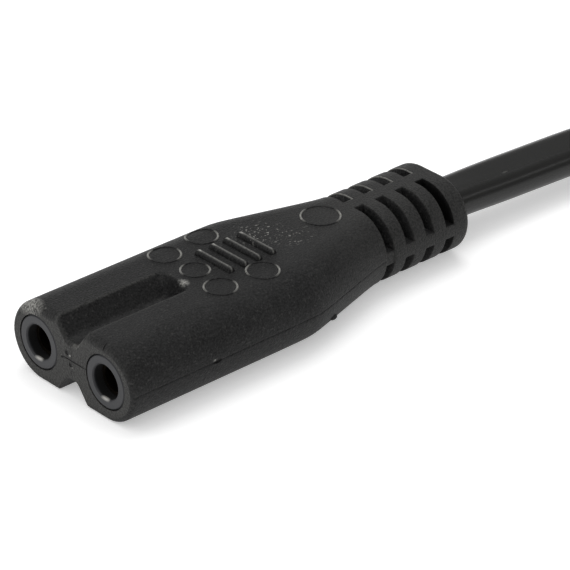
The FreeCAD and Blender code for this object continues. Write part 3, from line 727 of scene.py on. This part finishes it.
# %% [markdown]
# ## The plug
#
# The lead ends in a plain slim plug with two round pins. Its body is another moulded shell, wide and flat
# at the pins, narrow and slotted where the cord goes in, so the same rules make it with other numbers.
# The pins and the bridge that holds them are the CAD solids.

# %% Plug shell
plug_low, plug_high = (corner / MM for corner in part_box("plug_body"))
bridge_low, bridge_high = (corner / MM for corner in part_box("plug_bridge"))
PLUG_LEN = plug_high.x - plug_low.x
PLUG_Z = (plug_low.z + plug_high.z) / 2
PLUG_R = (plug_high.z - plug_low.z) / 2
PLUG_RIM, PLUG_REAR = 0.8, 0.9
TAIL_R, TAIL_HALF_W = 4.2, 5.5
PLUG_STRAIGHT, PLUG_TAPER = 10.0, 20.0
PLUG_SLOT_PITCH, PLUG_SLOT_W = 3.0, 1.2
PLUG_CORE, PLUG_LINE_GAP = (3.5, 2.6, 1.2), 0.7
CORD_IN_PLUG = 9.3

taper_end = PLUG_STRAIGHT + PLUG_TAPER
plug_flat = taper(PLUG_STRAIGHT, taper_end, plug_high.y - PLUG_R, TAIL_HALF_W - TAIL_R)
plug_shape = {
    "length": PLUG_LEN, "flat": plug_flat, "half_h": taper(PLUG_STRAIGHT, taper_end, PLUG_R, TAIL_R),
    "rim": PLUG_RIM, "rim_low": PLUG_RIM, "rear": PLUG_REAR,
    "top_line": lambda x: WEB_TOP, "web_top": WEB_TOP, "web_side": WEB_SIDE, "core": PLUG_CORE,
    "slots": [taper_end + PLUG_SLOT_PITCH * n for n in range(3)], "slot_w": PLUG_SLOT_W,
    "bars": [], "groove": None, "rear_light": lambda x: 0.0,
}
marks = quarter_round(PLUG_RIM) + [PLUG_LEN - r for r in quarter_round(PLUG_REAR)] + slot_marks(plug_shape)
plug = Shell(plug_shape, along_lines(marks, PLUG_LINE_GAP))
bridge_r = (bridge_high.z - bridge_low.z) / 2
bridge_rim = oval_rim(
    plug.places_of(plug.loops[0]), plug_flat(0), bridge_high.y - bridge_r, bridge_r + FIT_GAP)
plug.sink(plug.loops[0], bridge_rim, bridge_high.x - bridge_low.x)
cord_rim = oval_rim(plug.places_of(plug.loops[-1]), plug_flat(PLUG_LEN), CORD_FLAT, CORD_R)
plug.sink(plug.loops[-1], cord_rim, -CORD_IN_PLUG)
plug_moulding = plug.piece(
    "plug_moulding", lambda x, y, z: ((plug_high.x - x) * MM, -y * MM, (PLUG_Z + z) * MM))
print("plug shell of %d faces" % len(plug.faces))

# %% [markdown]
# ## The raised rings
#
# The mould leaves a few thin rings standing on the connector's top. They are all the same kind of thing on
# a curved surface, so Geometry Nodes makes them. A node tree is made in a script by adding nodes and
# linking them. One small function adds a node, and hands its inputs to another that links or sets them.

# %% A small helper for node trees
def feed(node, inputs):
    """Inputs by name: a plain value, an output to link, or a node, which stands for its first output."""
    for name, value in inputs.items():
        if isinstance(value, bpy.types.Node):
            value = next(output for output in value.outputs if not output.is_unavailable)
        if isinstance(value, bpy.types.NodeSocket):
            node.id_data.links.new(value, node.inputs[name])
        else:
            node.inputs[name].default_value = value


def add(tree, kind, inputs=None, **settings):
    """New node with its settings and its inputs."""
    node = tree.nodes.new(kind)
    for name, value in settings.items():
        setattr(node, name, value)
    feed(node, inputs or {})
    return node


rings_tree = bpy.data.node_groups.new("raised_rings", "GeometryNodeTree")
for name, kind in (
    ("Geometry", "Geometry"), ("Skin", "Object"), ("Bead radius", "Float"), ("Cast from", "Float"),
    ("Glint side", "Vector"), ("Finish", "Material"),
):
    rings_tree.interface.new_socket(name, in_out="INPUT", socket_type="NodeSocket" + kind)
rings_tree.interface.new_socket("Geometry", in_out="OUTPUT", socket_type="NodeSocketGeometry")
print("ring tree with %d sockets" % len(rings_tree.interface.items_tree))

# %% [markdown]
# A circle is put on each centre, dropped on to the skin by casting rays down, and swept with a tiny round
# bead that is half sunk in the skin. Two arcs of each ring, on opposite sides, get a painted highlight.

# %% Build the tree of the rings
given = add(rings_tree, "NodeGroupInput").outputs
circle = add(rings_tree, "GeometryNodeCurvePrimitiveCircle", {"Resolution": 72, "Radius": 1.0})
round_place = add(rings_tree, "GeometryNodeInputPosition")
sideways = add(
    rings_tree, "ShaderNodeVectorMath", {0: round_place, 1: given["Glint side"]}, operation="DOT_PRODUCT")
both = add(rings_tree, "ShaderNodeMath", {0: sideways}, operation="ABSOLUTE")
# painted highlight on the two opposite arcs of each ring
glint_arc = add(rings_tree, "ShaderNodeMapRange", {
    "Value": both, "From Min": 0.7, "From Max": 1.0, "To Min": 0.0, "To Max": 10.0})
marked = add(rings_tree, "GeometryNodeStoreNamedAttribute", {
    "Geometry": circle, "Name": "rub", "Value": glint_arc}, data_type="FLOAT")
wide = add(rings_tree, "GeometryNodeInputNamedAttribute", {"Name": "ring_radius"}, data_type="FLOAT")
placed = add(rings_tree, "GeometryNodeInstanceOnPoints", {
    "Points": given["Geometry"], "Instance": marked, "Scale": wide})
loose = add(rings_tree, "GeometryNodeRealizeInstances", {"Geometry": placed})
skin = add(rings_tree, "GeometryNodeObjectInfo", {"Object": given["Skin"]}).outputs["Geometry"]
here = add(rings_tree, "GeometryNodeInputPosition")
height = add(rings_tree, "ShaderNodeCombineXYZ", {"Z": given["Cast from"]})
above = add(rings_tree, "ShaderNodeVectorMath", {0: here, 1: height}, operation="ADD")
cast = add(rings_tree, "GeometryNodeRaycast", {
    "Target Geometry": skin, "Source Position": above, "Ray Direction": (0, 0, -1),
    "Ray Length": 0.1}).outputs
laid = add(rings_tree, "GeometryNodeSetPosition", {
    "Geometry": loose, "Selection": cast["Is Hit"], "Position": cast["Hit Position"]})
bead = add(rings_tree, "GeometryNodeCurvePrimitiveCircle", {
    "Resolution": 10, "Radius": given["Bead radius"]})
swept = add(rings_tree, "GeometryNodeCurveToMesh", {"Curve": laid, "Profile Curve": bead})
whole = add(rings_tree, "GeometryNodeRealizeInstances", {"Geometry": swept})
dressed = add(rings_tree, "GeometryNodeSetMaterial", {"Geometry": whole, "Material": given["Finish"]})
add(rings_tree, "NodeGroupOutput", {"Geometry": dressed})
print("ring tree of %d nodes" % len(rings_tree.nodes))

# %% [markdown]
# The tree runs on a mesh that is nothing but the centres, each with its radius as an attribute. The result
# is made a plain mesh, so that the finished piece needs no modifier.

# %% Grow the rings on the skin
RINGS = [  # behind the face, across, radius
    (13.24, 3.85, 1.4), (13.44, 0.15, 1.25), (13.16, -3.4, 1.4), (17.66, 4.23, 1.4), (17.58, -3.66, 1.4),
    (27.6, 0.16, 1.72),
]
BEAD_R = 0.09
# the arcs that face this way and the opposite way get the painted highlight
GLINT_SIDE = (0.74, -0.67, 0.0)


def grown(name, seed, group, values):
    """Plain mesh that a node group makes from the seed mesh, with its inputs given by name."""
    helper = put(name + "_seed", seed)
    modifier = helper.modifiers.new(name, "NODES")
    modifier.node_group = group
    for item in group.interface.items_tree:
        if item.in_out == "INPUT" and item.name in values:
            modifier[item.identifier] = values[item.name]
    mesh = bpy.data.meshes.new_from_object(helper.evaluated_get(bpy.context.evaluated_depsgraph_get()))
    bpy.data.objects.remove(helper)
    smooth(mesh)
    return put(name, mesh)


centres = bpy.data.meshes.new("ring_centres")
centres.from_pydata([behind_face(x, y, 0) for x, y, r in RINGS], [], [])
radii = centres.attributes.new("ring_radius", "FLOAT", "POINT")
radii.data.foreach_set("value", [r * MM for x, y, r in RINGS])
pvc = bpy.data.materials.new("moulded_soft_pvc")
raised_rings = grown("raised_rings", centres, rings_tree, {
    "Skin": housing, "Bead radius": BEAD_R * MM, "Cast from": 10 * MM, "Glint side": GLINT_SIDE,
    "Finish": pvc})
print("%d rings, %d faces" % (len(RINGS), len(raised_rings.data.polygons)))

# %% [markdown]
# ## The gate nub
#
# Where the plastic ran into the mould, a small torn nub is left on the connector's lower edge. It could be
# sculpted, but at this size a ball pressed a little flat and half sunk in the skin is enough.

# %% Gate nub
NUB_AT = (22.87, -6.55, -1.75)
NUB_REACH = (0.45, 0.3, 0.28)
nub_mesh = bpy.data.meshes.new("gate_nub")
work = bmesh.new()
bmesh.ops.create_icosphere(work, subdivisions=3, radius=1.0)
for vert in work.verts:
    vert.co = behind_face(*(place + reach * v for place, reach, v in zip(NUB_AT, NUB_REACH, vert.co)))
work.to_mesh(nub_mesh)
work.free()
smooth(nub_mesh)
nub_mesh.materials.append(pvc)
gate_nub = put("gate_nub", nub_mesh)
print("gate nub of %d faces" % len(nub_mesh.polygons))

# %% [markdown]
# ## The strap round the hank
#
# A narrow woven strap holds the turns together. It goes once round the waist and lies over its own start.
# A cloth simulation could wrap it, but a line that is worked out is exact and quick. Here it is a loop with
# round corners, from the box of the CAD strap.

# %% Line of the strap
CORNER_R = 1.6
CORNER_STEP = 15
OVERLAP = 7.0
tie_low, tie_high = (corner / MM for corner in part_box("cord_tie"))
tie_x = (tie_low.x + tie_high.x) / 2
band_y = tie_high.y - STRAP_THICK / 2
band_low, band_top = tie_low.z + STRAP_THICK / 2, tie_high.z - STRAP_THICK / 2
corner_y, corner_low, corner_top = band_y - CORNER_R, band_low + CORNER_R, band_top - CORNER_R
path = [(-OVERLAP / 2, band_top)]
for cy, cz, first in (
    (corner_y, corner_top, 90), (corner_y, corner_low, 0), (-corner_y, corner_low, -90),
    (-corner_y, corner_top, -180),
):
    for step in range(90 // CORNER_STEP + 1):
        angle = math.radians(first - step * CORNER_STEP)
        path.append((cy + CORNER_R * math.cos(angle), cz + CORNER_R * math.sin(angle)))
path.append((-OVERLAP / 2 - 0.8, band_top + 0.1))  # from here the end climbs over the start
path.append((-OVERLAP / 2 + 0.4, band_top + STRAP_THICK))
path.append((OVERLAP / 2, band_top + STRAP_THICK))
path = np.array(path)
walk = distances(path)
print("strap is %.0f mm long" % walk[-1])

# %% [markdown]
# A flat section with soft corners is carried along that line. The strap's UV map runs along and across the
# band in its real size, so that the weave keeps its own, however the band is bent.

# %% Mesh of the strap
SOFT_EDGE = 0.15
half_w, half_t = (tie_high.x - tie_low.x) / 2, STRAP_THICK / 2
flat_w, flat_t = half_w - SOFT_EDGE, half_t - SOFT_EDGE
band = [
    (-flat_w, -half_t), (flat_w, -half_t), (half_w, -flat_t), (half_w, flat_t),
    (flat_w, half_t), (-flat_w, half_t), (-half_w, flat_t), (-half_w, -flat_t),
]
direction = unit(np.gradient(path, walk, axis=0))
outward = np.stack([-direction[:, 1], direction[:, 0]], axis=1)
strap_points = []
for (y, z), (oy, oz) in zip(path, outward):
    for across, up in band:
        strap_points.append(((tie_x + across) * MM, (y + oy * up) * MM, (z + oz * up) * MM))
strap_faces = tube_faces(len(path), len(band))
strap = mesh_piece("woven_strap", strap_points, strap_faces)
strap_uv = strap.data.uv_layers.new(name="band")
for loop in strap.data.loops:
    place, corner = divmod(loop.vertex_index, len(band))
    strap_uv.data[loop.index].uv = (walk[place] * MM, band[corner][0] * MM)
print("strap of %d faces" % len(strap_faces))

# %% [markdown]
# ## Materials
#
# All patterns read Object coordinates or an attribute, so their sizes are real. Colours are written as
# sRGB hex numbers, as a paint program shows them, and one function makes them linear. Wear that sits at
# one place, such as a pit or a scuff, is a mask: 1 inside a small ellipsoid, fading to 0 at its edge.

# %% Tools for materials
def linear(colour):
    """Linear colour from an sRGB hex number."""
    parts = [int(colour[i:i + 2], 16) / 255 for i in (1, 3, 5)]
    return (*(c / 12.92 if c <= 0.04045 else ((c + 0.055) / 1.055) ** 2.4 for c in parts), 1.0)


def grain_scale(size_mm):
    return 1 / (size_mm * MM)


def shader_of(material):
    material.use_nodes = True
    return material.node_tree, material.node_tree.nodes["Principled BSDF"]


def spots(tree, place, marks):
    """Mask that is 1 inside each mark: a place behind the face, across and up, and its reach each way."""
    largest = None
    for centre, reach in marks:
        moved = add(tree, "ShaderNodeMapping", {
            "Vector": place, "Location": behind_face(*centre), "Scale": [r * MM for r in reach]},
            vector_type="TEXTURE")
        away = add(tree, "ShaderNodeVectorMath", {0: moved}, operation="LENGTH")
        mask = add(tree, "ShaderNodeMapRange", {
            "Value": away, "From Min": 0.4, "From Max": 1.0, "To Min": 1.0, "To Max": 0.0})
        if largest:
            mask = add(tree, "ShaderNodeMath", {0: largest, 1: mask}, operation="MAXIMUM")
        largest = mask
    return largest


print("mid grey #808080 is %.3f in linear light" % linear("#808080")[0])

# %% [markdown]
# Soft PVC comes out of its mould nearly black, with a fine spark-eroded texture. To the eye that is a
# broad, dull sheen instead of a mirror, and a slight mottle. Three noises give it: a fine grain, a coarser
# fleck, and clouds of about two millimetres. The real grain is finer: it would not show in the picture, so
# it is drawn as coarse as it needs to be.

# %% Moulded PVC: body colour
FINE_GRAIN, FLECK, CLOUD = 0.16, 0.27, 2.2
# PVC_SHADED is the colour of painted shade; the pale colour serves both wear and painted highlights
PVC_DARK, PVC_LIGHT, PVC_PALE_WEAR_AND_LIGHT, PVC_SHADED = "#0a0a0a", "#2d2d2d", "#a8a7a2", "#030303"
nodes, shader = shader_of(pvc)
place = add(nodes, "ShaderNodeTexCoord").outputs["Object"]
fine, fleck, cloud = (
    add(nodes, "ShaderNodeTexNoise", {"Vector": place, "Scale": grain_scale(size), "Detail": detail})
    for size, detail in ((FINE_GRAIN, 2.0), (FLECK, 3.0), (CLOUD, 4.0)))
mixed = add(nodes, "ShaderNodeMix", {"Factor": 0.75, "A": cloud, "B": fine})
mottle = add(nodes, "ShaderNodeMapRange", {"Value": mixed, "From Min": 0.3, "From Max": 0.7})
tone = add(nodes, "ShaderNodeMix", {
    "Factor": mottle, "A": linear(PVC_DARK), "B": linear(PVC_LIGHT)}, data_type="RGBA")
print("soft PVC from %s to %s" % (PVC_DARK, PVC_LIGHT))

# %% [markdown]
# Wear makes PVC paler, because scratches scatter light. Rubbed edges, and the painted highlights, glints
# and painted light of the shell and the rings, come from their attribute; a torn speckle lies behind the
# bars, and single scuffs lie where the photograph has them. The largest of the three wins at each point.

# %% Moulded PVC: pale wear
WEAR_AND_LIGHT_GAIN = 0.12
SPECKLED = [((21.8, 1.3, 3.5), (2.9, 2.7, 1.2)), ((23.6, -0.9, 3.5), (2.2, 1.9, 1.2))]
SCUFFS = [
    ((0.25, 5.7, 3.0), (0.9, 2.2, 1.4)),
    ((0.2, 3.62, 3.5), (0.25, 0.2, 0.2)),
    ((0.0, 0.2, 0.5), (0.2, 0.17, 0.17)),
    ((0.0, 1.32, 0.12), (0.2, 0.1, 0.12)),
    ((0.0, -0.05, -0.5), (0.2, 0.17, 0.13)),
    ((11.4, -0.8, 3.5), (0.5, 0.7, 0.5)),
    ((8.7, -7.81, 0.2), (0.3, 0.3, 0.12)),
]
# the attribute holds wear and painted light above zero, painted shade below zero
rub = add(nodes, "ShaderNodeAttribute", attribute_name="rub").outputs["Fac"]
patchy = add(nodes, "ShaderNodeMath", {0: rub, 1: fine}, operation="MULTIPLY")
pale_wear_and_light = add(nodes, "ShaderNodeMath", {0: patchy, 1: WEAR_AND_LIGHT_GAIN}, operation="MULTIPLY", use_clamp=True)
dots = add(nodes, "ShaderNodeMapRange", {
    "Value": fleck, "From Min": 0.59, "From Max": 0.68, "To Min": 0.0, "To Max": 0.8})
patches = add(nodes, "ShaderNodeMapRange", {"Value": cloud, "From Min": 0.36, "From Max": 0.52})
torn = add(nodes, "ShaderNodeMath", {0: spots(nodes, place, SPECKLED), 1: patches}, operation="MULTIPLY")
many = add(nodes, "ShaderNodeMath", {0: torn, 1: 0.9, 2: 0.06}, operation="MULTIPLY_ADD")
speckle = add(nodes, "ShaderNodeMath", {0: dots, 1: many}, operation="MULTIPLY")
broken = add(nodes, "ShaderNodeMapRange", {
    "Value": fine, "From Min": 0.35, "From Max": 0.65, "To Min": 0.1, "To Max": 0.8})
scuffed = add(nodes, "ShaderNodeMath", {0: spots(nodes, place, SCUFFS), 1: broken}, operation="MULTIPLY")
pale = pale_wear_and_light
for other in (speckle, scuffed):
    pale = add(nodes, "ShaderNodeMath", {0: pale, 1: other}, operation="MAXIMUM")
# pale colour from wear and from painted highlights
paled = add(nodes, "ShaderNodeMix", {"Factor": pale, "A": tone, "B": linear(PVC_PALE_WEAR_AND_LIGHT)}, data_type="RGBA")
print("%d scuffs and %d speckled places" % (len(SCUFFS), len(SPECKLED)))

# %% [markdown]
# Pits, the seam across the face, and the painted shade of the slots, the groove and the gaps between the
# bars are dark. Pits are also dents in the bump, with the grain on top. The gloss is low: a texture this
# rough throws back little of what stands before it.

# %% Moulded PVC: dark places, gloss and texture
PIT_DEPTH, FLECK_DEPTH, BUMP_DEEP = -5.0, 0.7, 0.07
PITS = [
    ((0.0, 0.53, 0.68), (0.3, 0.26, 0.26)),
    ((0.0, 0.09, -0.32), (0.3, 0.26, 0.24)),
    ((0.0, 1.17, 0.05), (0.3, 0.2, 0.14)),
    ((0.0, -0.3, 0.15), (0.3, 1.9, 0.1)),
    ((0.2, -4.18, 3.2), (0.5, 0.09, 0.3)),
    ((9.0, -7.81, 0.0), (0.5, 0.3, 0.2)),
]
pits = spots(nodes, place, PITS)
# painted shade from the attribute's values below zero, joined with the real pits
shaded = add(nodes, "ShaderNodeMath", {0: rub, 1: -1 / FAINT_SHADE}, operation="MULTIPLY", use_clamp=True)
dark = add(nodes, "ShaderNodeMath", {0: shaded, 1: pits}, operation="MAXIMUM")
seen = add(nodes, "ShaderNodeMix", {"Factor": dark, "A": paled, "B": linear(PVC_SHADED)}, data_type="RGBA")
matte = add(nodes, "ShaderNodeMapRange", {"Value": cloud, "To Min": 0.5, "To Max": 0.62})
dents = add(nodes, "ShaderNodeMath", {0: pits, 1: PIT_DEPTH, 2: fine}, operation="MULTIPLY_ADD")
rough = add(nodes, "ShaderNodeMath", {0: fleck, 1: FLECK_DEPTH, 2: dents}, operation="MULTIPLY_ADD")
bump = add(nodes, "ShaderNodeBump", {"Height": rough, "Strength": 1.0, "Distance": BUMP_DEEP * MM})
feed(shader, {"Base Color": seen, "Roughness": matte, "Specular IOR Level": 0.17, "Normal": bump})
print("%d pits, material of %d nodes" % (len(PITS), len(nodes.nodes)))

# %% [markdown]
# The other plastics and the metals are plainer: one colour, and a fine grain where the surface has one.
# The cord's jacket is extruded, not moulded. To the eye it is smooth, with a clear streak of sheen and
# two scratches.

# %% Plain materials and the cord's jacket
def plain(name, colour, roughness, grain_mm=None, grain_deep=0.0, metal=0.0, gloss=0.5):
    """Material of one colour, with a fine grain where one is given."""
    material = bpy.data.materials.new(name)
    tree, shader = shader_of(material)
    feed(shader, {
        "Base Color": linear(colour), "Roughness": roughness, "Metallic": metal,
        "Specular IOR Level": gloss})
    if grain_mm:
        place = add(tree, "ShaderNodeTexCoord").outputs["Object"]
        grain = add(tree, "ShaderNodeTexNoise", {
            "Vector": place, "Scale": grain_scale(grain_mm), "Detail": 3.0})
        bump = add(tree, "ShaderNodeBump", {"Height": grain, "Strength": 0.4, "Distance": grain_deep * MM})
        feed(shader, {"Normal": bump})
    return material


JACKET, JACKET_SCRATCH = "#20201f", "#5a5a57"
SCRATCHES = [((48.37, -1.46, 1.32), (0.6, 0.16, 0.3)), ((54.74, -0.95, 1.44), (0.8, 0.16, 0.3))]
jacket = plain("extruded_pvc_jacket", JACKET, 0.27, grain_mm=0.5, grain_deep=0.02, gloss=0.28)
nodes, shader = shader_of(jacket)
place = add(nodes, "ShaderNodeTexCoord").outputs["Object"]
scratched = add(nodes, "ShaderNodeMix", {
    "Factor": spots(nodes, place, SCRATCHES), "A": linear(JACKET), "B": linear(JACKET_SCRATCH)},
    data_type="RGBA")
feed(shader, {"Base Color": scratched})
print("jacket of colour %s with %d scratches" % (JACKET, len(SCRATCHES)))

# %% [markdown]
# The contact carrier is a harder, smoother plastic, a little bluer than the housing. Painted shade fills
# the bores behind its two rings: the colour falls to black just behind the face. A painted glint shows as a
# small pale crescent on the lower lip of each mouth.

# %% Contact carrier
CARRIER, GLINT_PALE = "#1d1e22", "#b5b3ae"
CARRIER_MATTE, BORE_MATTE = 0.42, 1.0
BORE_FADE = (0.05, 0.3)
MOUTH_GLINTS = [((0.14, side * PIN_Y + 0.1, -1.62), (0.22, 0.75, 0.2)) for side in (1, -1)]
carrier_plastic = plain(
    "hard_moulded_carrier", CARRIER, CARRIER_MATTE, grain_mm=0.3, grain_deep=0.01, gloss=0.42)
nodes, shader = shader_of(carrier_plastic)
place = add(nodes, "ShaderNodeTexCoord").outputs["Object"]
depth = add(nodes, "ShaderNodeSeparateXYZ", {"Vector": place}).outputs["X"]
deep = add(nodes, "ShaderNodeMapRange", {
    "Value": depth, "From Min": (FACE_X + BORE_FADE[0]) * MM, "From Max": (FACE_X + BORE_FADE[1]) * MM})
# painted shade: the bores turn black just behind the face
painted_shade_inside = add(nodes, "ShaderNodeMix", {
    "Factor": deep, "A": linear(CARRIER), "B": linear(PVC_SHADED)}, data_type="RGBA")
# painted glint on the lower lip of each mouth
mouth_glint = add(nodes, "ShaderNodeMix", {
    "Factor": spots(nodes, place, MOUTH_GLINTS), "A": painted_shade_inside, "B": linear(GLINT_PALE)}, data_type="RGBA")
dull = add(nodes, "ShaderNodeMapRange", {"Value": deep, "To Min": CARRIER_MATTE, "To Max": BORE_MATTE})
feed(shader, {"Base Color": mouth_glint, "Roughness": dull})
print("carrier of colour %s, black from %.1f mm behind the face" % (CARRIER, BORE_FADE[1]))

# %% [markdown]
# The rest is inside the mouldings or outside the picture: brass contacts darkened as painted shade, the
# coloured insulation of the two cores, copper strands, and the plug's nickel plated pins with their black
# sleeves.
# Every CAD node that stays visible gets its material here, and so do the pieces made above.

# %% Dress the CAD nodes and the pieces
# rolled brass, darkened as painted shade for the bores: a dark, blurred gleam
brass = plain("rolled_brass_darkened_as_shade", "#2b2620", 0.5, grain_mm=0.4, grain_deep=0.01, metal=1.0)
# extruded: an even colour with a satin sheen
brown_core = plain("brown_core_insulation", "#5c3820", 0.45)
blue_core = plain("blue_core_insulation", "#29579e", 0.45)
# bare strands: a warm metal gleam
copper = plain("stranded_copper", "#cc8060", 0.35, metal=1.0)
# moulded hard: a dull black with a soft sheen
hard_black = plain("hard_moulded_black", "#1f1f20", 0.4, grain_mm=0.3, grain_deep=0.01)
# plated over turned brass: a clear but slightly soft mirror
nickel = plain("nickel_plated_brass", "#c2bfb8", 0.22, metal=1.0)
finishes = {"contact_carrier": carrier_plastic, "plug_bridge": hard_black}
for side, core in (("left", brown_core), ("right", blue_core)):
    finishes.update({
        "contact_" + side: brass, "core_insulation_" + side: core, "conductor_" + side: copper,
        "pin_" + side: nickel, "pin_sleeve_" + side: hard_black,
        "plug_core_" + side: core, "plug_conductor_" + side: copper})
for name, finish in finishes.items():
    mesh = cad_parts[name].data
    mesh.materials.clear()
    mesh.materials.append(finish)
for piece, finish in ((housing, pvc), (plug_moulding, pvc), (cord, jacket)):
    piece.data.materials.append(finish)
print("%d CAD nodes dressed" % len(finishes))

# %% [markdown]
# The strap is woven from black yarn. Two crossed waves on its UV map make the lattice of threads, which
# shade the colour and lift the bump. To the eye it is a dull, dark cloth with a fine check.

# %% Woven webbing
THREAD = 0.8
WAVES_PER_SCALE = 20 / math.pi  # in a length of 2 at a scale of 1, as a wave spans two threads
webbing = bpy.data.materials.new("woven_black_webbing")
nodes, shader = shader_of(webbing)
band_map = add(nodes, "ShaderNodeUVMap", uv_map="band").outputs["UV"]
warp, weft = (
    add(nodes, "ShaderNodeTexWave", {
        "Vector": band_map, "Scale": grain_scale(THREAD) / WAVES_PER_SCALE},
        bands_direction=way).outputs["Fac"]
    for way in ("X", "Y"))
weave = add(nodes, "ShaderNodeMath", {0: warp, 1: weft}, operation="MULTIPLY")
yarn = add(nodes, "ShaderNodeMix", {
    "Factor": weave, "A": linear("#0e0e0f"), "B": linear("#2a2a2b")}, data_type="RGBA")
bump = add(nodes, "ShaderNodeBump", {"Height": weave, "Strength": 0.6, "Distance": 0.1 * MM})
feed(shader, {"Base Color": yarn, "Roughness": 0.7, "Normal": bump})
strap.data.materials.append(webbing)
print("webbing with threads %.1f mm apart" % THREAD)

# %% [markdown]
# ## Floor and light
#
# The photograph was taken on a white table, so the floor is a plain white sheet without gloss. To the eye
# it is only paper white and soft shadow. More light would bleach the object too, so the last step to white
# is a faint glow that only the camera and reflections see. It is added to the lit floor, and the shadow
# stays.

# %% Floor
FLOOR_HALF = 3.0
TABLE_GLOW = 0.37
corners = [(-1, -1), (1, -1), (1, 1), (-1, 1)]
floor_points = [(x * FLOOR_HALF, y * FLOOR_HALF, 0) for x, y in corners]
floor = mesh_piece("pale_floor", floor_points, [(0, 1, 2, 3)])
table = plain("matte_white_table", "#f4f4f4", 0.9)
nodes, shader = shader_of(table)
rays = add(nodes, "ShaderNodeLightPath").outputs
looked_at = rays["Is Camera Ray"]
for kind in ("Is Glossy Ray", "Is Transmission Ray"):
    looked_at = add(nodes, "ShaderNodeMath", {0: looked_at, 1: rays[kind]}, operation="MAXIMUM")
share = add(nodes, "ShaderNodeMath", {0: looked_at, 1: TABLE_GLOW}, operation="MULTIPLY")
glow = add(nodes, "ShaderNodeEmission", {"Color": linear("#ffffff"), "Strength": share})
blend = add(nodes, "ShaderNodeAddShader", {0: shader, 1: glow})
feed(nodes.nodes["Material Output"], {"Surface": blend})
floor.data.materials.append(table)
print("floor %.0f m wide" % (2 * FLOOR_HALF))

# %% [markdown]
# The room is brighter above and to the left, as under a large soft window, so the world's strength rises
# towards that side. A low pale wall behind the table gives the far edges their thin rim of light.

# %% Room
SKY_DIM, SKY_BRIGHT = 0.27, 1.1
BRIGHT_SIDE = Vector((-0.5, 0.1, 0.86)).normalized()
WALL_SIDE = Vector((0.67, 0.74, 0.0))
world = bpy.data.worlds.new("soft_room")
world.use_nodes = True
room = world.node_tree
towards = add(room, "ShaderNodeTexCoord").outputs["Generated"]
facing = add(room, "ShaderNodeVectorMath", {0: towards, 1: BRIGHT_SIDE}, operation="DOT_PRODUCT")
sky = add(room, "ShaderNodeMapRange", {
    "Value": facing, "From Min": 0.2, "From Max": 0.95, "To Min": SKY_DIM, "To Max": SKY_BRIGHT},
    interpolation_type="SMOOTHSTEP")
behind = add(room, "ShaderNodeVectorMath", {0: towards, 1: WALL_SIDE}, operation="DOT_PRODUCT")
across = add(room, "ShaderNodeMapRange", {
    "Value": behind, "From Min": 0.2, "From Max": 0.7}, interpolation_type="SMOOTHSTEP")
height = add(room, "ShaderNodeSeparateXYZ", {"Vector": towards}).outputs["Z"]
low = add(room, "ShaderNodeMapRange", {
    "Value": height, "From Min": 0.12, "From Max": 0.42, "To Min": 1.0, "To Max": 0.0},
    interpolation_type="SMOOTHSTEP")
pale_wall = add(room, "ShaderNodeMath", {0: across, 1: low}, operation="MULTIPLY")
bright = add(room, "ShaderNodeMath", {0: sky, 1: pale_wall}, operation="MAXIMUM")
feed(room.nodes["Background"], {"Color": linear("#ffffff"), "Strength": bright})
bpy.context.scene.world = world
print("room from %.2f to %.2f bright" % (SKY_DIM, SKY_BRIGHT))

# %% [markdown]
# Two softboxes add what the room lacks. A wide one high up behind lights the tops and throws the shadow
# forward. A small, weak one low on the right draws the streak of sheen along the cord and the shoulders
# of the relief.

# %% Softboxes
LIGHT_AWAY = 0.9


def softbox(name, azimuth, elevation, width, power):
    """Round area light that shines on the origin from a given side and height, in degrees."""
    data = bpy.data.lights.new(name, "AREA")
    data.shape = "DISK"
    data.size = width
    data.energy = power
    light = put(name, data)
    turn, rise = math.radians(azimuth), math.radians(elevation)
    source = Vector((math.cos(turn) * math.cos(rise), math.sin(turn) * math.cos(rise), math.sin(rise)))
    light.location = source * LIGHT_AWAY
    light.rotation_euler = source.to_track_quat("Z", "Y").to_euler()


softbox("key_softbox", azimuth=35, elevation=68, width=0.6, power=2.1)
softbox("edge_softbox", azimuth=-48, elevation=30, width=0.12, power=0.2)
print("two softboxes %.2f m away" % LIGHT_AWAY)

# %% [markdown]
# ## Tie the pieces to the body
#
# Every piece rides the one body of the model, and the CAD solids under it are hidden.

# %% Tie the pieces to the body
for piece in (housing, raised_rings, gate_nub, plug_moulding, strap):
    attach(piece, "root")
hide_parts("cord_tie")
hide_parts("connector_overmould")
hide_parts("plug_body")
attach(cord, "root")
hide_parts("cord_lead", "cord_hank", "cord_tail")
bpy.context.scene.view_settings.view_transform = "Standard"
